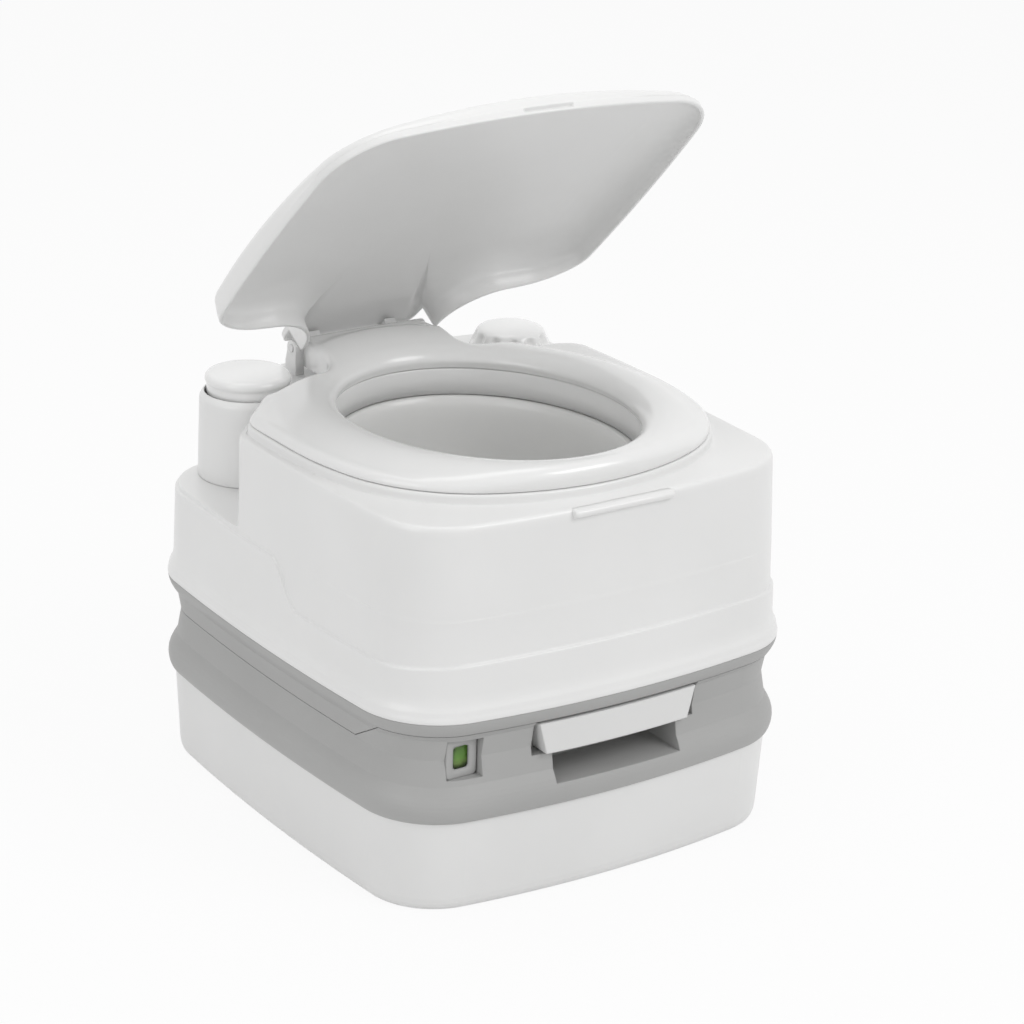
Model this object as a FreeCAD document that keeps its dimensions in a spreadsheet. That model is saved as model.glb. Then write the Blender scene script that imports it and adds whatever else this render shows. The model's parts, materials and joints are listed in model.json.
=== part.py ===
"""Portable toilet in two halves: a flush-water unit with bowl, seat and lid, on a removable waste tank.

Millimetres. +Z is up, -Y is the front (pull handle and level window), +X is the user's left when seated.
The origin is the centre of the base. The lid is stored open, the seat down, every valve and cap closed.
"""
import FreeCAD
import Part
import Sketcher
import math
import os
from FreeCAD import Placement, Rotation, Vector

doc = FreeCAD.newDocument("portable_toilet")
sheet = doc.addObject("Spreadsheet::Sheet", "dims")
DIMENSIONS = [
    # overall
    ("overall_width", 342.0), ("overall_depth", 382.0), ("deck_height", 271.5), ("closed_height", 313.0),
    ("corner_radius", 60.0), ("front_bow", 7.9), ("side_bow", 4.4), ("wall", 3.0), ("parting_gap", 0.4),
    ("moving_gap", 0.4), ("running_gap", 0.06),
    # waste tank and grey band
    ("shoulder_z", 66.0), ("rim_z", 77.0), ("pinch_z", 111.0), ("pinch_inset", 9.6), ("front_seam_z", 129.0),
    ("foot_height", 9.0), ("foot_inset", 7.9), ("shoulder_inset", 5.0), ("rim_rise", 15.0), ("rim_inset", 6.4),
    ("flare_z", 125.0), ("flare_inset", 7.0), ("nozzle_x", 74.5), ("nozzle_y", -70.0), ("nozzle_z", 242.0),
    ("band_top_z", 139.2), ("ramp_start_y", -107.0), ("ramp_end_y", -138.0),
    # valve
    ("valve_y", -19.0), ("outlet_radius", 43.0), ("channel_half_width", 57.0), ("channel_floor_z", 112.0),
    ("channel_top_z", 126.0), ("channel_rear_y", 52.0), ("blade_thickness", 3.0), ("seal_thickness", 2.7),
    ("seal_width", 6.0), ("blade_half_width", 52.0), ("blade_rear_y", 36.0),
    ("handle_front_y", -187.5), ("handle_back_y", -168.5), ("handle_top_half", 64.0), ("handle_low_half", 58.0),
    ("handle_low_z", 104.7), ("handle_top_z", 127.3), ("grip_half_width", 51.0), ("grip_low_z", 82.6),
    ("grip_back_y", -150.0),
    # level gauge
    ("gauge_x", -115.5), ("gauge_y", -154.0), ("gauge_z", 110.0), ("gauge_radius", 13.0), ("gauge_width", 22.5),
    ("gauge_shaft_radius", 2.5), ("float_arm", 75.0), ("float_angle", 62.0), ("float_radius", 12.0),
    ("float_length", 44.0),
    # pour-out spout
    ("spout_x", 108.0), ("spout_y", 138.0), ("spout_floor_z", 42.0), ("spout_axis_z", 72.0),
    ("spout_radius", 22.0), ("spout_reach", 38.0), ("spout_cap_radius", 26.0), ("spout_cap_depth", 14.0),
    # vent button and latch
    ("vent_x", -70.0), ("vent_z", 75.0), ("vent_radius", 11.0), ("vent_stem_radius", 4.0),
    ("latch_half_width", 30.0), ("latch_pivot_z", 84.0), ("latch_pivot_y", 183.0), ("latch_pin_radius", 3.0),
    ("latch_top_z", 130.0), ("latch_rest_angle", 20.0),
    # flush-water unit
    ("shell_inset", 6.2), ("deck_inset", 11.4), ("low_deck_z", 207.5), ("plinth_height", 6.5),
    ("collar_z", 258.0), ("collar_half_x", 102.0), ("collar_half_y", 119.0), ("ledge", 5.0),
    # pump
    ("pump_x", -99.5), ("pump_y", 139.0), ("pump_base_radius", 36.3), ("pump_top_radius", 35.0),
    ("pump_shoulder_z", 271.6), ("pump_disc_radius", 31.0), ("pump_disc_z", 277.0), ("pump_top_z", 284.5),
    ("pump_stroke", 22.0), ("pocket_radius", 46.0), ("pocket_corner_y", 47.0), ("pocket_arc_start", -113.0),
    # filler
    ("filler_x", 121.0), ("filler_y", 131.0), ("filler_radius", 20.0), ("cap_radius", 30.5), ("cap_top_z", 288.5),
    # hinge, seat and lid
    ("hinge_y", 152.5), ("hinge_z", 290.5), ("pin_radius", 3.0), ("knuckle_radius", 6.0),
    ("neck_half_width", 48.6), ("bracket_width", 7.0), ("lug_inner_x", 28.0), ("lug_width", 9.0),
    ("seat_half_width", 150.5), ("seat_front_y", -161.5), ("seat_corner", 112.0), ("seat_edge_z", 286.5),
    ("seat_crest_z", 293.4), ("seat_rear_z", 299.5), ("seat_hole_half_x", 99.0), ("seat_hole_half_y", 118.0),
    ("lid_half_width", 156.0), ("lid_front_y", -166.6), ("lid_rim_z", 281.3), ("lid_corner", 51.4),
    ("lid_crown_radius", 1100.0), ("lid_crown_y", 20.0), ("lid_open_angle", 44.4), ("lid_wall", 2.8),
    ("cutout_y", 89.0), ("lid_neck_half", 57.5), ("seat_clearance", 1.6), ("neck_step_y", 138.0),
]
for row, (alias, value) in enumerate(DIMENSIONS, 1):
    sheet.set(f"A{row}", alias)
    sheet.set(f"B{row}", str(value))
    sheet.setAlias(f"B{row}", alias)
doc.recompute()


class Dims:
    """The spreadsheet's values, read by name."""

    def __getattr__(self, alias):
        return float(sheet.get(alias))


d = Dims()
half_x = d.overall_width / 2
half_y = d.overall_depth / 2
NODES = []


# ---- geometry helpers -------------------------------------------------------------------------------

def arc(centre, radius, start, end):
    """Arc in the XY plane through start and end, on the circle's side that faces away from its centre."""
    middle = (start + end) * 0.5 - centre
    middle.normalize()
    return Part.Arc(start, centre + middle * radius, end).toShape()


def outline(a, b, radius, z, y_shift=0.0):
    """Rounded rectangle with bowed sides: half sizes a and b, eight arcs, at height z."""
    cx = a - radius - d.side_bow
    cy = b - radius - d.front_bow
    end_radius = (cx * cx + d.front_bow ** 2) / (2 * d.front_bow)
    side_radius = (cy * cy + d.side_bow ** 2) / (2 * d.side_bow)
    end_angle = math.asin(cx / end_radius)
    side_angle = math.asin(cy / side_radius)
    edges = []
    corners = [(1, -1), (1, 1), (-1, 1), (-1, -1)]
    starts = []
    for sx, sy in corners:
        centre = Vector(sx * cx, sy * cy + y_shift, z)
        on_end = centre + Vector(sx * math.sin(end_angle), sy * math.cos(end_angle), 0) * radius
        on_side = centre + Vector(sx * math.cos(side_angle), sy * math.sin(side_angle), 0) * radius
        starts.append((centre, on_end, on_side))
    for index, (sx, sy) in enumerate(corners):
        centre, on_end, on_side = starts[index]
        first, second = (on_end, on_side) if sx * sy < 0 else (on_side, on_end)
        edges.append(arc(centre, radius, first, second))
        following = starts[(index + 1) % 4]
        if sx * sy < 0:
            edges.append(Part.Arc(second, Vector(sx * a, y_shift, z), following[2]).toShape())
        else:
            edges.append(Part.Arc(second, Vector(0, sy * b + y_shift, z), following[1]).toShape())
    return Part.Wire(edges)


def stack(sections, inset=0.0):
    """Solid through bowed outlines: sections are (height, inset from the overall size)."""
    wires = []
    for z, step in sections:
        total = step + inset
        wires.append(outline(half_x - total, half_y - total, d.corner_radius - total, z))
    return Part.makeLoft(wires, True, True)


def block(x0, x1, y0, y1, z0, z1):
    return Part.makeBox(x1 - x0, y1 - y0, z1 - z0, Vector(x0, y0, z0))


def rod(radius, length, start, direction=(0, 0, 1)):
    return Part.makeCylinder(radius, length, Vector(*start), Vector(*direction))


def prism(points, vector):
    """Polygon through points, extruded along a vector."""
    corners = [Vector(*point) for point in points]
    return Part.Face(Part.makePolygon(corners + corners[:1])).extrude(Vector(*vector))


def ellipse(rx, ry, z, y):
    """Ellipse wire with its long half size along Y."""
    curve = Part.Ellipse(Vector(0, y + ry, z), Vector(rx, y, z), Vector(0, y, z))
    return Part.Wire(curve.toShape())


def elliptic(sections, y):
    return Part.makeLoft([ellipse(rx, ry, z, y) for z, rx, ry in sections], True, True)


def feature(name, shape):
    """A node whose shape is worked out from the sheet with Part's functions."""
    node = doc.addObject("Part::Feature", name)
    node.Label = name
    node.Shape = shape
    NODES.append(node)
    return node


def bound(kind, name, sizes, base=("0", "0", "0"), turn=None):
    """A primitive whose sizes and place follow the sheet."""
    item = doc.addObject(kind, name)
    if turn:
        item.Placement = Placement(Vector(), Rotation(Vector(*turn[0]), turn[1]))
    for prop, formula in sizes.items():
        item.setExpression(prop, formula)
    for axis, formula in zip("xyz", base):
        item.setExpression("Placement.Base." + axis, formula)
    return item


def cylinder(name, radius, height, base, turn=None):
    return bound("Part::Cylinder", name, {"Radius": radius, "Height": height}, base, turn)


def box(name, length, width, height, base):
    return bound("Part::Box", name, {"Length": length, "Width": width, "Height": height}, base)


def difference(name, base, tool, keep=True):
    cut = doc.addObject("Part::Cut", name)
    cut.Label = name
    cut.Base = base
    cut.Tool = tool
    if keep:
        NODES.append(cut)
    return cut


def union(name, shapes, keep=True):
    fuse = doc.addObject("Part::MultiFuse", name)
    fuse.Label = name
    fuse.Shapes = shapes
    if keep:
        NODES.append(fuse)
    return fuse


def ring(name, outer, inner, height, base, turn=None):
    """A flat ring: outer cylinder less inner cylinder."""
    disc = cylinder(name + "_disc", outer, height, base, turn)
    hole = cylinder(name + "_hole", inner, height, base, turn)
    return difference(name, disc, hole)


ALONG_X = ((0, 1, 0), 90)
ALONG_Y = ((1, 0, 0), -90)
ALONG_MINUS_X = ((0, 1, 0), -90)


def plate(name, x_half, y_low, y_high, z_low, thickness, holes=()):
    """PartDesign plate on the XY plane, symmetric in X, with round holes (y, radius) on its centre line."""
    body = doc.addObject("PartDesign::Body", name)
    body.Label = name
    plane = next(f for f in body.Origin.OriginFeatures if f.Role == "XY_Plane")
    sketch = body.newObject("Sketcher::SketchObject", name + "_outline")
    sketch.AttachmentSupport = (plane, [""])
    sketch.MapMode = "FlatFace"
    sketch.setExpression("AttachmentOffset.Base.z", z_low)
    corners = [Vector(-1, -1, 0), Vector(1, -1, 0), Vector(1, 1, 0), Vector(-1, 1, 0)]
    for index in range(4):
        sketch.addGeometry(Part.LineSegment(corners[index] * 10, corners[(index + 1) % 4] * 10))
    for index in range(4):
        sketch.addConstraint(Sketcher.Constraint("Coincident", index, 2, (index + 1) % 4, 1))
    for index, kind in enumerate(("Horizontal", "Vertical", "Horizontal", "Vertical")):
        sketch.addConstraint(Sketcher.Constraint(kind, index))
    spans = [("DistanceX", 0, 2, x_half), ("DistanceX", 0, 1, f"-({x_half})"),
             ("DistanceY", 0, 1, y_low), ("DistanceY", 2, 1, y_high)]
    for kind, line, point, formula in spans:
        start = 10.0 if (kind, point) == ("DistanceX", 2) or line == 2 else -10.0
        number = sketch.addConstraint(Sketcher.Constraint(kind, -1, 1, line, point, start))
        sketch.setExpression(f"Constraints[{number}]", formula)
    for y, radius in holes:
        circle = sketch.addGeometry(Part.Circle(Vector(0, 0, 0), Vector(0, 0, 1), 2))
        sketch.addConstraint(Sketcher.Constraint("PointOnObject", circle, 3, -2))
        number = sketch.addConstraint(Sketcher.Constraint("DistanceY", -1, 1, circle, 3, -1.0))
        sketch.setExpression(f"Constraints[{number}]", y)
        number = sketch.addConstraint(Sketcher.Constraint("Radius", circle, 2))
        sketch.setExpression(f"Constraints[{number}]", radius)
    pad = body.newObject("PartDesign::Pad", name + "_pad")
    pad.Profile = sketch
    pad.setExpression("Length", thickness)
    body.Tip = pad
    return body



# ---- waste tank --------------------------------------------------------------------------------------


def band_inset(z):
    """Inset of the tank and of the skirt above it: rounded foot, rolled rim, pinch and flared top."""
    if z < d.foot_height:
        share = 1 - z / d.foot_height
        return d.foot_inset + d.foot_height / 2 * (1 - math.sqrt(1 - share * share))
    if z < d.shoulder_z:
        share = (z - d.foot_height) / (d.shoulder_z - d.foot_height)
        return d.foot_inset + (d.shoulder_inset - d.foot_inset) * share
    if z < d.rim_z:
        share = (d.rim_z - z) / (d.rim_z - d.shoulder_z)
        return d.shoulder_inset * (1 - math.sqrt(1 - share * share))
    if z < d.rim_z + d.rim_rise:
        return d.rim_inset * (1 - math.cos(math.pi / 2 * (z - d.rim_z) / d.rim_rise))
    if z < d.pinch_z - 1:
        share = (z - d.rim_z - d.rim_rise) / (d.pinch_z - 1 - d.rim_z - d.rim_rise)
        return d.rim_inset + (d.pinch_inset - d.rim_inset) * share
    if z < d.flare_z:
        share = (z - d.pinch_z + 1) / (d.flare_z - d.pinch_z + 1)
        return d.pinch_inset + (d.flare_inset - d.pinch_inset) * share
    share = (z - d.flare_z) / (d.band_top_z - d.flare_z)
    return d.flare_inset - (d.flare_inset - 0.3) * math.sin(math.pi / 2 * share)


def band_sections(heights):
    return [(z, band_inset(z)) for z in heights]


def between(low, high, shares):
    return [low + (high - low) * share for share in shares]


TANK_SECTIONS = band_sections(between(0, d.foot_height, (0, 0.05, 0.15, 0.3, 0.55, 1))
                              + between(d.shoulder_z, d.rim_z, (0, 0.03, 0.1, 0.22, 0.4, 0.6, 0.8, 1))
                              + between(d.rim_z, d.rim_z + d.rim_rise, (0.2, 0.4, 0.6, 0.8, 1))
                              + [d.pinch_z - 1, d.flare_z]
                              + between(d.flare_z, d.front_seam_z, (0.3, 0.65, 1)))


def top_profile(gap=0.0):
    """Everything above the tank's top face, which steps up over a ramp near the front."""
    low = d.pinch_z + gap
    high = d.front_seam_z + gap
    far = half_y + 20
    points = [(-half_x - 20, far, low), (-half_x - 20, d.ramp_start_y, low), (-half_x - 20, d.ramp_end_y, high),
              (-half_x - 20, -far, high), (-half_x - 20, -far, high + 60), (-half_x - 20, far, high + 60)]
    return prism(points, (2 * half_x + 40, 0, 0))


plateau_half = d.channel_half_width + 14
plateau_rear = d.channel_rear_y + 14
recess_x = d.spout_x - 64
recess_y = d.spout_y - 32
recess_top = d.spout_axis_z + 28
gauge_left = d.gauge_x - d.gauge_width / 2 - 1
gauge_right = d.gauge_x + d.gauge_width / 2 + 1
gauge_pocket = block(gauge_left, gauge_right, -half_y - 10, d.gauge_y + d.gauge_radius + 3,
                     d.gauge_z - d.gauge_radius - 1, d.gauge_z + d.gauge_radius + 1)
handle_pocket = block(-d.handle_top_half - 2.5, d.handle_top_half + 2.5, -half_y - 10, d.handle_back_y + 0.5,
                      d.handle_low_z - 1.5, d.front_seam_z + 5)
grip_pocket = block(-d.grip_half_width, d.grip_half_width, -half_y - 10, d.grip_back_y, d.grip_low_z,
                    d.handle_low_z - 1.0)
channel = block(-d.channel_half_width, d.channel_half_width, -half_y - 10, d.channel_rear_y,
                d.channel_floor_z, d.front_seam_z + 5)
spout_recess = block(recess_x, half_x + 20, recess_y, half_y + 20, d.spout_floor_z, recess_top)
latch_recess = block(-d.latch_half_width - 0.6, d.latch_half_width + 0.6, d.latch_pivot_y - 8, half_y + 20,
                     d.latch_pivot_z - 12, d.pinch_z + 30)
vent_pocket = rod(d.vent_radius + 0.5, 30, (d.vent_x, d.latch_pivot_y - 7, d.vent_z), (0, 1, 0))


def waste_tank():
    outer = stack(TANK_SECTIONS).cut(top_profile())
    outer = outer.fuse(block(-plateau_half, plateau_half, d.ramp_end_y - 4, plateau_rear,
                             d.pinch_z - 8, d.channel_top_z))
    cavity_top = d.channel_floor_z - 2 * d.wall - 1
    inner_sections = [(d.wall, 10.0)] + [s for s in TANK_SECTIONS if 8.0 <= s[0] < cavity_top]
    inner_sections.append((cavity_top, d.pinch_inset))
    cavity = stack(inner_sections, d.wall)
    front_bay = [(gauge_right + d.wall, -d.handle_top_half - 5.5), (d.handle_top_half + 5.5, 112.0)]
    for x0, x1 in front_bay:
        cavity = cavity.fuse(block(x0, x1, -half_y + 20, d.ramp_end_y - 4, 95, d.front_seam_z - d.wall))
    w = d.wall
    keep_outs = [
        block(-d.handle_top_half - 5.5, d.handle_top_half + 5.5, -half_y - 10, d.grip_back_y + w,
              d.grip_low_z - w, d.front_seam_z),
        block(gauge_left - w, gauge_right + w, -half_y - 10, d.gauge_y + d.gauge_radius + 3 + w,
              d.gauge_z - d.gauge_radius - 1 - w, d.front_seam_z),
        block(recess_x - w, half_x + 20, recess_y - w, half_y + 20, d.spout_floor_z - w, d.pinch_z),
        block(-d.latch_half_width - 9, d.latch_half_width + 9, d.latch_pivot_y - 11, half_y + 20,
              d.latch_pivot_z - 16, d.pinch_z),
        block(d.vent_x - 18, d.vent_x + 18, d.latch_pivot_y - 10, half_y + 20, d.vent_z - 18, d.vent_z + 18),
    ]
    for region in keep_outs:
        cavity = cavity.cut(region)
    tank = outer.cut(cavity)
    inlet = rod(d.outlet_radius + 3, 40, (0, d.valve_y, d.channel_floor_z - 30))
    spout_hole = rod(d.spout_radius - 3, 20, (d.spout_x, d.spout_y, d.spout_floor_z - 12))
    vent_hole = rod(d.vent_stem_radius + 0.3, 30, (d.vent_x, d.latch_pivot_y - 20, d.vent_z), (0, 1, 0))
    shaft = rod(d.gauge_shaft_radius + d.running_gap, gauge_right + w + 4 - (gauge_left - 2.5),
                (gauge_left - 2.5, d.gauge_y, d.gauge_z), (1, 0, 0))
    latch_pin = rod(d.latch_pin_radius, 2 * d.latch_half_width + 10,
                    (-d.latch_half_width - 5, d.latch_pivot_y, d.latch_pivot_z), (1, 0, 0))
    for tool in [handle_pocket, grip_pocket, channel, gauge_pocket, spout_recess, latch_recess, vent_pocket,
                 inlet, spout_hole, vent_hole, shaft, latch_pin]:
        tank = tank.cut(tool)
    return tank


tank = waste_tank()
under_rim = block(-half_x - 20, half_x + 20, -half_y - 20, half_y + 20, -10, d.shoulder_z)
feature("tank_bottom", tank.common(under_rim))
feature("waste_tank", tank.cut(under_rim))

# ---- slide valve -------------------------------------------------------------------------------------

ring("tank_seal", "dims.outlet_radius + 3 + dims.seal_width", "dims.outlet_radius + 3", "dims.seal_thickness",
     ("0", "dims.valve_y", "dims.channel_floor_z"))
blade = plate("valve_blade", "dims.blade_half_width", "dims.handle_back_y", "dims.blade_rear_y",
              "dims.channel_floor_z + dims.seal_thickness + dims.moving_gap", "dims.blade_thickness")
NODES.append(blade)

seal_base = "dims.channel_floor_z + dims.seal_thickness + dims.blade_thickness + 2 * dims.moving_gap"
ring("lip_seal", "dims.outlet_radius + dims.seal_width", "dims.outlet_radius", "dims.seal_thickness",
     ("0", "dims.valve_y", seal_base))
cover_low = d.channel_floor_z + 2 * d.seal_thickness + d.blade_thickness + 2 * d.moving_gap
blade_low = d.channel_floor_z + d.seal_thickness + d.moving_gap


def valve_cover():
    """Plate that closes the channel from above, with side rails that guide the blade."""
    plate_y0 = d.handle_back_y + 1.0
    cover = block(-d.channel_half_width, d.channel_half_width, plate_y0, d.channel_rear_y, cover_low, d.channel_top_z)
    rail = d.channel_half_width - d.blade_half_width - d.moving_gap
    for side in (-1, 1):
        x0 = side * d.channel_half_width if side < 0 else d.channel_half_width - rail
        cover = cover.fuse(block(x0, x0 + rail, plate_y0, d.channel_rear_y, d.channel_floor_z, cover_low))
    cover = cover.fuse(block(-d.channel_half_width, d.channel_half_width, d.channel_rear_y - 10, d.channel_rear_y,
                             d.channel_floor_z, cover_low))
    return cover.cut(rod(d.outlet_radius, 40, (0, d.valve_y, cover_low - 10)))


feature("valve_cover", valve_cover())


def valve_handle():
    """Trapezoid grip bar, hollow from behind below the blade, with a bowed front."""
    y0 = d.handle_front_y
    y1 = d.handle_back_y
    low = d.handle_low_z
    high = d.handle_top_z
    points = [(-d.handle_low_half, y1, low), (d.handle_low_half, y1, low),
              (d.handle_top_half, y1, high), (-d.handle_top_half, y1, high)]
    bar = prism(points, (0, y0 - y1, 0))
    bow_radius = (d.handle_top_half ** 2 + 3.0 ** 2) / (2 * 3.0)
    bowed = rod(bow_radius, high - low, (0, y0 + bow_radius, low))
    bar = bar.common(bowed)
    hollow = block(-d.handle_low_half + 6, d.handle_low_half - 6, y0 + 5, y1 - 3, low, blade_low - 1.5)
    return bar.cut(hollow)


feature("valve_handle", valve_handle())

# ---- level gauge -------------------------------------------------------------------------------------

drum = cylinder("drum_disc", "dims.gauge_radius", "dims.gauge_width",
                ("dims.gauge_x - dims.gauge_width / 2", "dims.gauge_y", "dims.gauge_z"), ALONG_X)
spindle = cylinder("drum_spindle", "dims.gauge_shaft_radius", "dims.gauge_width + 18.5",
                   ("dims.gauge_x - dims.gauge_width / 2 - 3", "dims.gauge_y", "dims.gauge_z"), ALONG_X)
union("level_drum", [drum, spindle])
arm_x = gauge_right + d.wall + 2
slope = math.radians(d.float_angle)
float_y = d.gauge_y + d.float_arm * math.cos(slope)
float_z = d.gauge_z - d.float_arm * math.sin(slope)


def float_arm():
    start = Vector(arm_x, d.gauge_y, d.gauge_z)
    along = Vector(0, math.cos(slope), -math.sin(slope))
    arm = rod(d.gauge_shaft_radius + 3, 6, start, (1, 0, 0))
    bar = Part.makeBox(5, 5, d.float_arm - d.float_radius + 2)
    bar.Placement = Placement(start + Vector(0, -2.5 * math.sin(slope), -2.5 * math.cos(slope)),
                              Rotation(Vector(0, 0, 1), along))
    arm = arm.fuse(bar)
    arm = arm.cut(rod(d.gauge_shaft_radius, 20, start - Vector(5, 0, 0), (1, 0, 0)))
    return arm.cut(rod(d.float_radius, d.float_length, (arm_x, float_y, float_z), (1, 0, 0)))


feature("level_arm", float_arm())
feature("level_float", rod(d.float_radius, d.float_length, (arm_x, float_y, float_z), (1, 0, 0)))
window_y = d.gauge_y - d.gauge_radius - 1.5
feature("level_window", block(gauge_left, gauge_right, window_y - 2, window_y,
                              d.gauge_z - d.gauge_radius - 1, d.gauge_z + d.gauge_radius + 1))

# ---- pour-out spout ----------------------------------------------------------------------------------

flange = cylinder("flange_disc", "dims.spout_radius + 9", "4", ("dims.spout_x", "dims.spout_y", "dims.spout_floor_z"))
flange_hole = cylinder("flange_hole", "dims.spout_radius + 0.6", "4",
                       ("dims.spout_x", "dims.spout_y", "dims.spout_floor_z"))
difference("spout_flange", flange, flange_hole)


def spout_elbow():
    """Swivelling elbow: a short riser with a level outlet that points to -X when stowed."""
    pivot = (d.spout_x, d.spout_y, d.spout_floor_z + 0.4)
    rise = d.spout_axis_z - d.spout_floor_z
    outlet = (d.spout_x, d.spout_y, d.spout_axis_z)
    outer = rod(d.spout_radius, rise, pivot)
    outer = outer.fuse(rod(d.spout_radius, d.spout_reach, outlet, (-1, 0, 0)))
    outer = outer.fuse(Part.makeSphere(d.spout_radius + 1.2, Vector(*outlet)))
    inner = rod(d.spout_radius - 3, rise, pivot)
    inner = inner.fuse(rod(d.spout_radius - 3, d.spout_reach + 1, outlet, (-1, 0, 0)))
    inner = inner.fuse(Part.makeSphere(d.spout_radius - 2, Vector(*outlet)))
    return outer.cut(inner)


feature("spout_elbow", spout_elbow())
mouth_x = d.spout_x - d.spout_reach
ring("spout_cap_seal", "dims.spout_radius - 0.2", "dims.spout_radius - 4", "2",
     ("dims.spout_x - dims.spout_reach - 2.1", "dims.spout_y", "dims.spout_axis_z"), ALONG_X)


def knurled_cap(radius, start, direction, depth, bore, skin, count, dent):
    """Screw cap: a cup whose outside has evenly spaced finger flutes."""
    axis = Vector(*direction)
    origin = Vector(*start)
    cap = rod(radius, depth, origin, axis)
    side = Vector(0, 1, 0) if abs(axis.y) < 0.5 else Vector(1, 0, 0)
    for index in range(count):
        spoke = Rotation(axis, 360.0 * index / count).multVec(side)
        centre = origin + spoke * (radius + dent * 1.6) - axis
        cap = cap.cut(Part.makeCylinder(dent * 2.6, depth + 2, centre, axis))
    return cap.cut(Part.makeCylinder(bore, depth - skin, origin, axis))


feature("spout_cap", knurled_cap(d.spout_cap_radius, (mouth_x + 9, d.spout_y, d.spout_axis_z), (-1, 0, 0),
                                 d.spout_cap_depth, d.spout_radius + 0.4, 2.5, 16, 1.0))

# ---- vent button -------------------------------------------------------------------------------------

head = cylinder("vent_head", "dims.vent_radius", "7.5", ("dims.vent_x", "dims.latch_pivot_y - 1", "dims.vent_z"),
                ALONG_Y)
stem = cylinder("vent_stem", "dims.vent_stem_radius", "18",
                ("dims.vent_x", "dims.latch_pivot_y - 18", "dims.vent_z"), ALONG_Y)
union("vent_button", [head, stem])
ring("vent_spring", "dims.vent_radius - 2.5", "dims.vent_stem_radius + 0.6", "5.8",
     ("dims.vent_x", "dims.latch_pivot_y - 6.9", "dims.vent_z"), ALONG_Y)
ring("vent_seal", "dims.vent_radius - 2", "dims.vent_stem_radius", "2.5",
     ("dims.vent_x", "dims.latch_pivot_y - 12.8", "dims.vent_z"), ALONG_Y)

# ---- rear latch --------------------------------------------------------------------------------------

catch_z = d.latch_top_z - 6


def latch_lever():
    """Lever on a cross pin, with a hook that holds the two halves together."""
    w = d.latch_half_width
    y = d.latch_pivot_y
    lever = block(-w, w, y - 3, y + 3, d.latch_pivot_z, d.latch_top_z)
    lever = lever.fuse(rod(5, 2 * w, (-w, y, d.latch_pivot_z), (1, 0, 0)))
    lever = lever.fuse(block(-w + 10, w - 10, y - 10, y - 3, catch_z, d.latch_top_z))
    lever = lever.fuse(block(-w + 6, w - 6, y + 3, y + 7, d.latch_top_z - 10, d.latch_top_z - 6))
    lever = lever.cut(rod(d.latch_pin_radius + d.running_gap, 2 * w + 2, (-w - 1, y, d.latch_pivot_z), (1, 0, 0)))
    return lever.rotate(Vector(0, y, d.latch_pivot_z), Vector(-1, 0, 0), d.latch_rest_angle)


feature("latch_lever", latch_lever())
pin = cylinder("latch_pin", "dims.latch_pin_radius", "2 * dims.latch_half_width + 10",
               ("-dims.latch_half_width - 5", "dims.latch_pivot_y", "dims.latch_pivot_z"), ALONG_X)
NODES.append(pin)

# ---- flush-water unit: base and shell ----------------------------------------------------------------

BASE_SECTIONS = band_sections([d.pinch_z - 2, d.pinch_z - 1]
                              + between(d.flare_z, d.band_top_z, (0, 0.1, 0.2, 0.33, 0.46, 0.6, 0.74, 0.87, 1)))
floor_low = d.front_seam_z + d.parting_gap
floor_top = floor_low + d.wall
outlet_bore = d.outlet_radius + d.seal_width + 0.2


def upper_base():
    """Grey floor and skirt of the flush-water unit, which sits over the tank's stepped top."""
    base = stack(BASE_SECTIONS)
    low = [(z, step) for z, step in BASE_SECTIONS if z < floor_low]
    low.append((floor_low, band_inset(floor_low)))
    high = band_sections([floor_top] + [z for z, step in BASE_SECTIONS if z > floor_top + 0.5])
    catch = block(-d.latch_half_width - 6, d.latch_half_width + 6, d.latch_pivot_y - 17, half_y + 20,
                  d.pinch_z - 5, floor_low)
    base = base.cut(stack(low, d.wall).cut(catch)).cut(stack(high, d.wall))
    everywhere = block(-half_x - 40, half_x + 40, -half_y - 40, half_y + 40, 0, floor_low)
    base = base.cut(everywhere.cut(top_profile(d.parting_gap)))
    w = d.latch_half_width
    y = d.latch_pivot_y
    lever_slot = block(-w - 0.6, w + 0.6, y - 4, half_y + 20, d.pinch_z - 10, d.latch_top_z + 2)
    hook_slot = block(-w + 9, w - 9, y - 14, y, catch_z - 2.5, d.latch_top_z + 2)
    base = base.cut(lever_slot).cut(hook_slot)
    return base.cut(rod(outlet_bore, 20, (0, d.valve_y, floor_low - 5)))


feature("upper_base", upper_base())

SHELL_SECTIONS = [(d.band_top_z, 0.0), (d.band_top_z + 4, 0.3), (d.band_top_z + 10, 3.0),
                  (d.band_top_z + 17, 4.4), (d.low_deck_z, d.shell_inset), (d.deck_height - 3.2, d.deck_inset),
                  (d.deck_height - 1.0, d.deck_inset + 0.9), (d.deck_height, d.deck_inset + 3.2)]
SHELL_INSIDE = [(d.band_top_z, 0.0), (d.band_top_z + 4, 0.3), (d.band_top_z + 10, 3.0),
                (d.band_top_z + 17, 4.4), (d.low_deck_z, d.shell_inset), (d.deck_height - d.wall, d.deck_inset)]


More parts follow.
